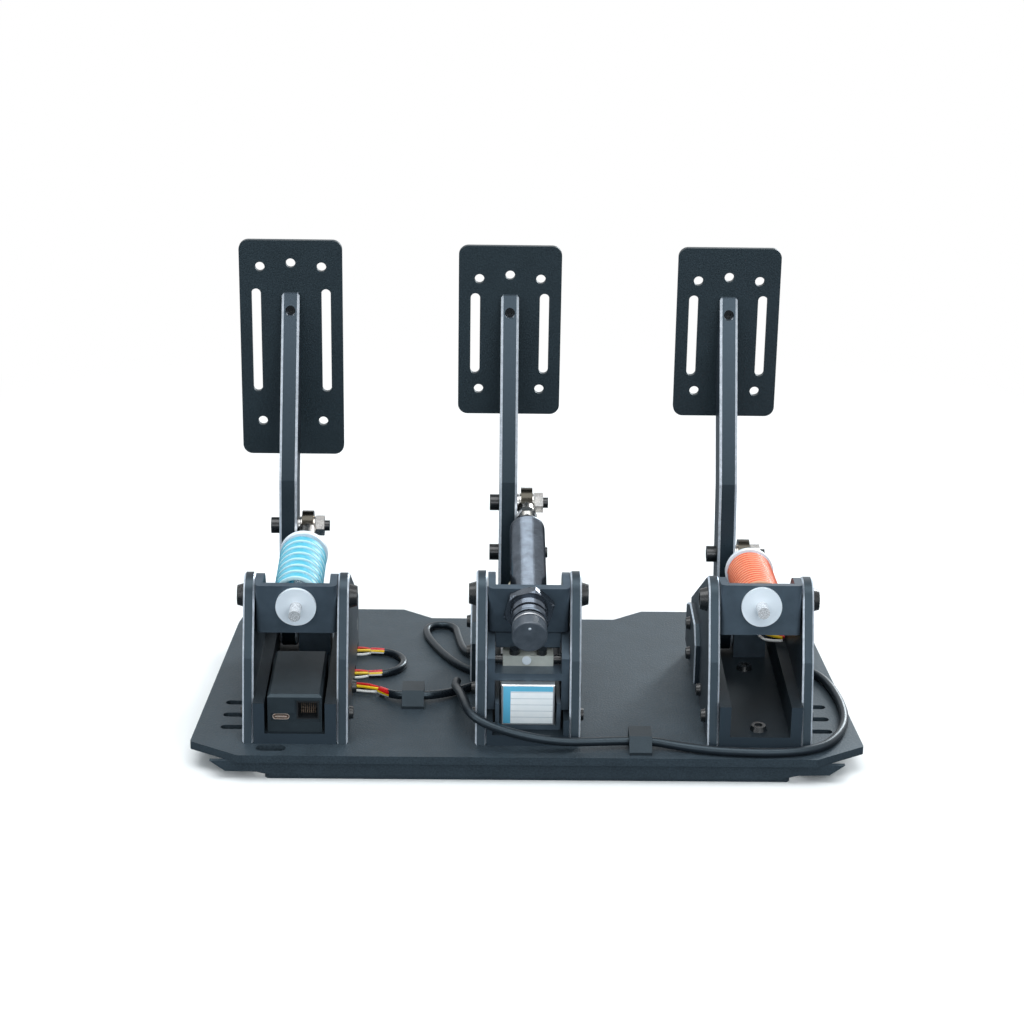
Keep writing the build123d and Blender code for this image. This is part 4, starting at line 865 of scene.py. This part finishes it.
def wires_then_jacket(name, stripped_from):
    """A lead whose first millimetres show its four wires side by side, before the jacket begins."""
    finish = Finish(name, tint=blue_black)
    x, _, z = finish.position()
    bands = finish.node("ShaderNodeValToRGB")
    stops = bands.color_ramp.elements
    bands.color_ramp.interpolation = "CONSTANT"
    for number, (start, colour) in enumerate(wire_bands):
        stop = stops[number] if number < len(stops) else stops.new(start)
        stop.position, stop.color = start, (*colour, 1)
    up = finish.math("DIVIDE", finish.math("SUBTRACT", z, lowest_wire * MM), wires_high * MM)
    finish.wire(up, bands.inputs[0])
    ragged = finish.spread(finish.noise(1.2, 2), -ragged_by * MM, ragged_by * MM)
    bare = finish.math("GREATER_THAN", finish.math("ADD", x, ragged), stripped_from * MM)
    finish.colour(finish.mix(bare, (0.006, 0.008, 0.011), bands.outputs[0]))
    finish.grain(0.9, (0.24, 0.38), strength=0.3, depth=0.05)
    return finish


sensor_jacket = wires_then_jacket("sensor_jacket", 80.5)
harness_jacket = wires_then_jacket("harness_jacket", 76.0)
print("bands of colour", len(wire_bands))

# %% [markdown]
# ## Laying the leads
# A curve object with a round bevel is the simplest cable: its line stays smooth, and its section
# stays round in every bend. Order 3 keeps the line close to the points of its route.

# %% Lay the leads
def nurbs_line(name, routes, radius, jackets):
    """A curve object with one smooth spline for each route, and a round section."""
    curve = bpy.data.curves.new(name, "CURVE")
    curve.dimensions = "3D"
    curve.bevel_depth = radius * MM
    curve.bevel_resolution = 5
    curve.use_fill_caps = True
    curve.resolution_u = 10
    for jacket in jackets:
        curve.materials.append(jacket.material)
    for number, route in enumerate(routes):
        spline = curve.splines.new("NURBS")
        spline.points.add(len(route) - 1)
        for point, place in zip(spline.points, route):
            point.co = (*(Vector(place) * MM), 1)
        spline.order_u = 3
        spline.use_endpoint_u = True
        spline.material_index = number % len(jackets)
    return curve


leads = (  # name, route, radius in millimetres, length in metres, finish
    ("sensor_lead", sensor_route, 2.1, 0.056, sensor_jacket),
    ("harness_lead", harness_route, 2.4, 0.066, harness_jacket),
    ("loop_lead", loop_route, 2.1, 0.142, finishes["lead_jacket"]),
    ("long_lead", long_route, 2.4, 0.378, finishes["lead_jacket"]),
)
for name, route, radius, length, jacket in leads:
    cable_name = name + "_cable"
    cable = bpy.data.objects.new(cable_name, nurbs_line(cable_name, (route,), radius, (jacket,)))
    scene.collection.objects.link(cable)
    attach(cable, "frame")
    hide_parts(name)
print("leads laid", len(leads))

# %% [markdown]
# ## Coloured wires
# Where a lead's jacket ends, four thin wires fan out to the plug inside the housing. Each has one
# plain colour. They are short, so they are drawn as one mesh with a finish for each colour.

# %% Fan out the wires
wire_radius, wire_spacing, fan_bulge = 0.78, 1.12, 1.3
wire_routes = (
    ((101, -31.3, 17.3), (94.6, -31.5, 17.3), (88.3, -31.9, 17.2)),
    ((101, 0.0, 17.3), (94.6, -0.3, 17.3), (88.3, -0.9, 17.2)),
    ((101, 16.4, 17.6), (91, 16.9, 17.4), (81.6, 20.8, 17.6)),
    ((-132, -18.2, 38.5), (-133.4, -8.6, 40.6), (-137.8, -1.6, 41.6), (-144.2, 1.4, 41.8)),
)
wire_finishes = [
    grained("wire_" + name, colour, 0.5, 0.02, 0.15, (0.25, 0.4), 0.08)
    for name, colour in wire_colours.items()
]
fan = []
for route in wire_routes:
    run = (Vector(route[-1]) - Vector(route[0])).normalized()
    sidewise = run.cross(Vector((0, 0, 1))).normalized()
    rise = sidewise.cross(run)
    for number in range(len(wire_colours)):
        turn = radians(45 + 90 * number)
        outward = sidewise * cos(turn) + rise * sin(turn)
        loose = fan_bulge * (0.4 + number % 2)
        fan.append([
            Vector(place) + outward * (wire_spacing + loose * sin(pi * index / (len(route) - 1)))
            for index, place in enumerate(route)
        ])
bundle = bpy.data.objects.new("wires_start", nurbs_line("wires", fan, wire_radius, wire_finishes))
scene.collection.objects.link(bundle)
wire_mesh = bpy.data.meshes.new_from_object(bundle.evaluated_get(bpy.context.evaluated_depsgraph_get()))
bpy.data.objects.remove(bundle)
settle("coloured_wires", wire_mesh, "frame", replaces=("lead_wires",))
print("wires", len(fan))

# %% [markdown]
# ## Contacts of the jack
# The box has a square jack with eight thin contacts. Geometry Nodes repeat them from one sloping
# wire, so the count and the spacing stay sizes that can be changed.

# %% Make the contacts
jack_x, jack_rear, jack_floor, contact_fall = 116.7, 76.0, 28.7, -0.62
contact_sizes = {"Count": 8, "Spacing": 1.02 * MM, "Run": 6 * MM, "Thickness": 0.18 * MM}
dull_wire = grained("contact_wire", (0.16, 0.12, 0.09), 0.5, 0.02, 0.1, (0.25, 0.4), 0.1, metal=0.9)
contact_tree, given, made = geometry_tree("jack_contacts", contact_sizes)
row, wire, section, tube, copies, whole, cover = [
    contact_tree.nodes.new("GeometryNode" + kind) for kind in (
        "MeshLine", "CurvePrimitiveLine", "CurvePrimitiveCircle", "CurveToMesh", "InstanceOnPoints",
        "RealizeInstances", "SetMaterial",
    )
]
slope, gap, fall = [
    contact_tree.nodes.new("ShaderNode" + kind) for kind in ("CombineXYZ", "CombineXYZ", "Math")
]
fall.operation = "MULTIPLY"
fall.inputs[1].default_value = contact_fall
section.inputs["Resolution"].default_value = 8
tube.inputs["Fill Caps"].default_value = True
cover.inputs["Material"].default_value = dull_wire.material
join(
    contact_tree, (given, "Count", row, "Count"), (given, "Spacing", gap, "X"), (gap, 0, row, "Offset"),
    (given, "Run", fall, 0), (given, "Run", slope, "Z"), (fall, 0, slope, "Y"), (slope, 0, wire, "End"),
    (given, "Thickness", section, "Radius"), (wire, 0, tube, "Curve"), (section, 0, tube, "Profile Curve"),
    (row, 0, copies, "Points"), (tube, 0, copies, "Instance"), (copies, 0, whole, 0), (whole, 0, cover, 0),
    (cover, 0, made, 0),
)
half_row = (contact_sizes["Count"] - 1) * contact_sizes["Spacing"] / 2
contacts = grow(contact_tree, "jack_contacts", contact_sizes)
contacts.transform(Matrix.Translation(
    Vector((jack_x * MM - half_row, jack_rear * MM, (jack_floor + 1.0) * MM))
))
settle("jack_contact_row", contacts, "frame")
print("contacts", contact_sizes["Count"], "points", len(contacts.vertices))

# %% [markdown]
# ## Tongue of the flat port
# The flat port beside the jack holds a thin copper-coloured tongue. It is a slab with its edges
# rounded, because a sharp edge catches no light.

# %% Shape the tongue
def rounded_slab(name, low, high, bevel, segments=3):
    """A box between two corners in millimetres, with its edges rounded."""
    shape = bmesh.new()
    bmesh.ops.create_cube(shape, size=1)
    size = Vector(high) - Vector(low)
    middle = (Vector(high) + Vector(low)) / 2
    for vert in shape.verts:
        vert.co = Vector([m + c * s for m, c, s in zip(middle, vert.co, size)]) * MM
    bmesh.ops.bevel(shape, geom=shape.edges[:], offset=bevel * MM, segments=segments, profile=0.5,
                    affect="EDGES")
    return finished_mesh(name, shape)


copper = grained("contact_gold", (0.80, 0.50, 0.26), 0.5, 0.02, 0.1, (0.25, 0.4), 0.1, metal=0.8)
tongue = rounded_slab("port_tongue", (127.9, 75.2, 28.95), (134.1, 80.2, 29.85), 0.25)
settle("port_tongue", tongue, "frame", copper)

# %% [markdown]
# ## Label on the load cell
# The load cell's end carries a paper label: a pale ruled sheet with a light blue head and edge. It
# is a thin slab, and its finish draws the rules and the blue, so it needs no picture.

# %% Stick on the plain label
label_low, label_high = (-13.2, 76.45, 24.6), (13.2, 76.75, 46.2)
head_from, edge_from, row_pitch, rule_width = 43.3, 9.3, 3.6, 0.32

label_finish = Finish("label_sheet")
x, _, z = label_finish.position()
head = label_finish.math("GREATER_THAN", z, head_from * MM)
edge = label_finish.math("GREATER_THAN", x, edge_from * MM)
row_height = label_finish.math("MODULO", label_finish.math("SUBTRACT", z, label_low[2] * MM), row_pitch * MM)
rules = label_finish.math("LESS_THAN", row_height, rule_width * MM)
paper = label_finish.drift(5, 3, (0.84, 0.88, 0.90), (0.90, 0.92, 0.93))
ruled = label_finish.mix(rules, paper, (0.50, 0.56, 0.60))
label_finish.colour(label_finish.mix(label_finish.math("MAXIMUM", head, edge), ruled, (0.10, 0.42, 0.62)))
label_finish.grain(0.6, (0.35, 0.5), strength=0.15, depth=0.03)
label = rounded_slab("cell_label", label_low, label_high, 0.12, 2)
settle("cell_label", label, "frame", label_finish)
print("label", len(label.polygons), "faces")

# %% [markdown]
# ## Mark on the damper's knob
# The knob shows how far it is turned by one small white dot on its face. It is a thin disc that
# rides with the knob.

# %% Add the knob's dot
dot_place = Vector((0, 5.2, -0.1)) * MM
dot = turned("knob_dot", [(0.0, 0.0), (0.75, 0.0), (0.75, 0.08), (0.65, 0.12), (0.0, 0.12)], 20)
dot.transform(damper.matrix(knob_face) @ Matrix.Translation(dot_place))
settle("knob_dot", dot, "adjuster", nylon)
print("dot", len(dot.polygons), "faces")

# %% [markdown]
# ## Floor
# The set stands on a plain pale floor that goes far beyond the view. Near the set it is a matt
# surface, which keeps a soft shadow. Further away it fades into plain white for the camera, so no
# horizon shows.

# %% Lay the floor
floor_reach, fade_from, fade_to = 30.0, 0.22, 0.7
pale, shaded = (0.86, 0.86, 0.86), (0.10, 0.12, 0.14)
floor_mesh = bpy.data.meshes.new("floor")
corners = [(x * floor_reach, y * floor_reach, 0) for x, y in ((-1, -1), (1, -1), (1, 1), (-1, 1))]
floor_mesh.from_pydata(corners, [], [(0, 1, 2, 3)])
floor = bpy.data.objects.new("floor", floor_mesh)
scene.collection.objects.link(floor)

floor_finish = grained("floor_paint", pale, 8.0, 0.05, 0.05, (0.7, 0.8), 0.01)
paper_white = floor_finish.node("ShaderNodeEmission")
by_camera = floor_finish.node("ShaderNodeLightPath").outputs["Is Camera Ray"]
# Other rays see the floor dark grey: painted shade that keeps the set's undersides dark. The camera sees it
# pale.
floor_finish.colour(floor_finish.mix(by_camera, shaded, pale))
far = floor_finish.node("ShaderNodeVectorMath", operation="LENGTH")
floor_finish.wire(floor_finish.place.outputs["Object"], far.inputs[0])
away = floor_finish.spread(
    far.outputs["Value"], 0.0, 1.0, (fade_from, fade_to), interpolation_type="SMOOTHSTEP"
)
both = floor_finish.node("ShaderNodeMixShader")
floor_finish.wire(floor_finish.math("MULTIPLY", by_camera, away), both.inputs["Fac"])
floor_finish.wire(floor_finish.shader.outputs[0], both.inputs[1])
floor_finish.wire(paper_white.outputs[0], both.inputs[2])
floor_finish.wire(both.outputs[0], floor_finish.tree.nodes["Material Output"].inputs["Surface"])
floor_mesh.materials.append(floor_finish.material)
print("floor reaches", floor_reach, "m")
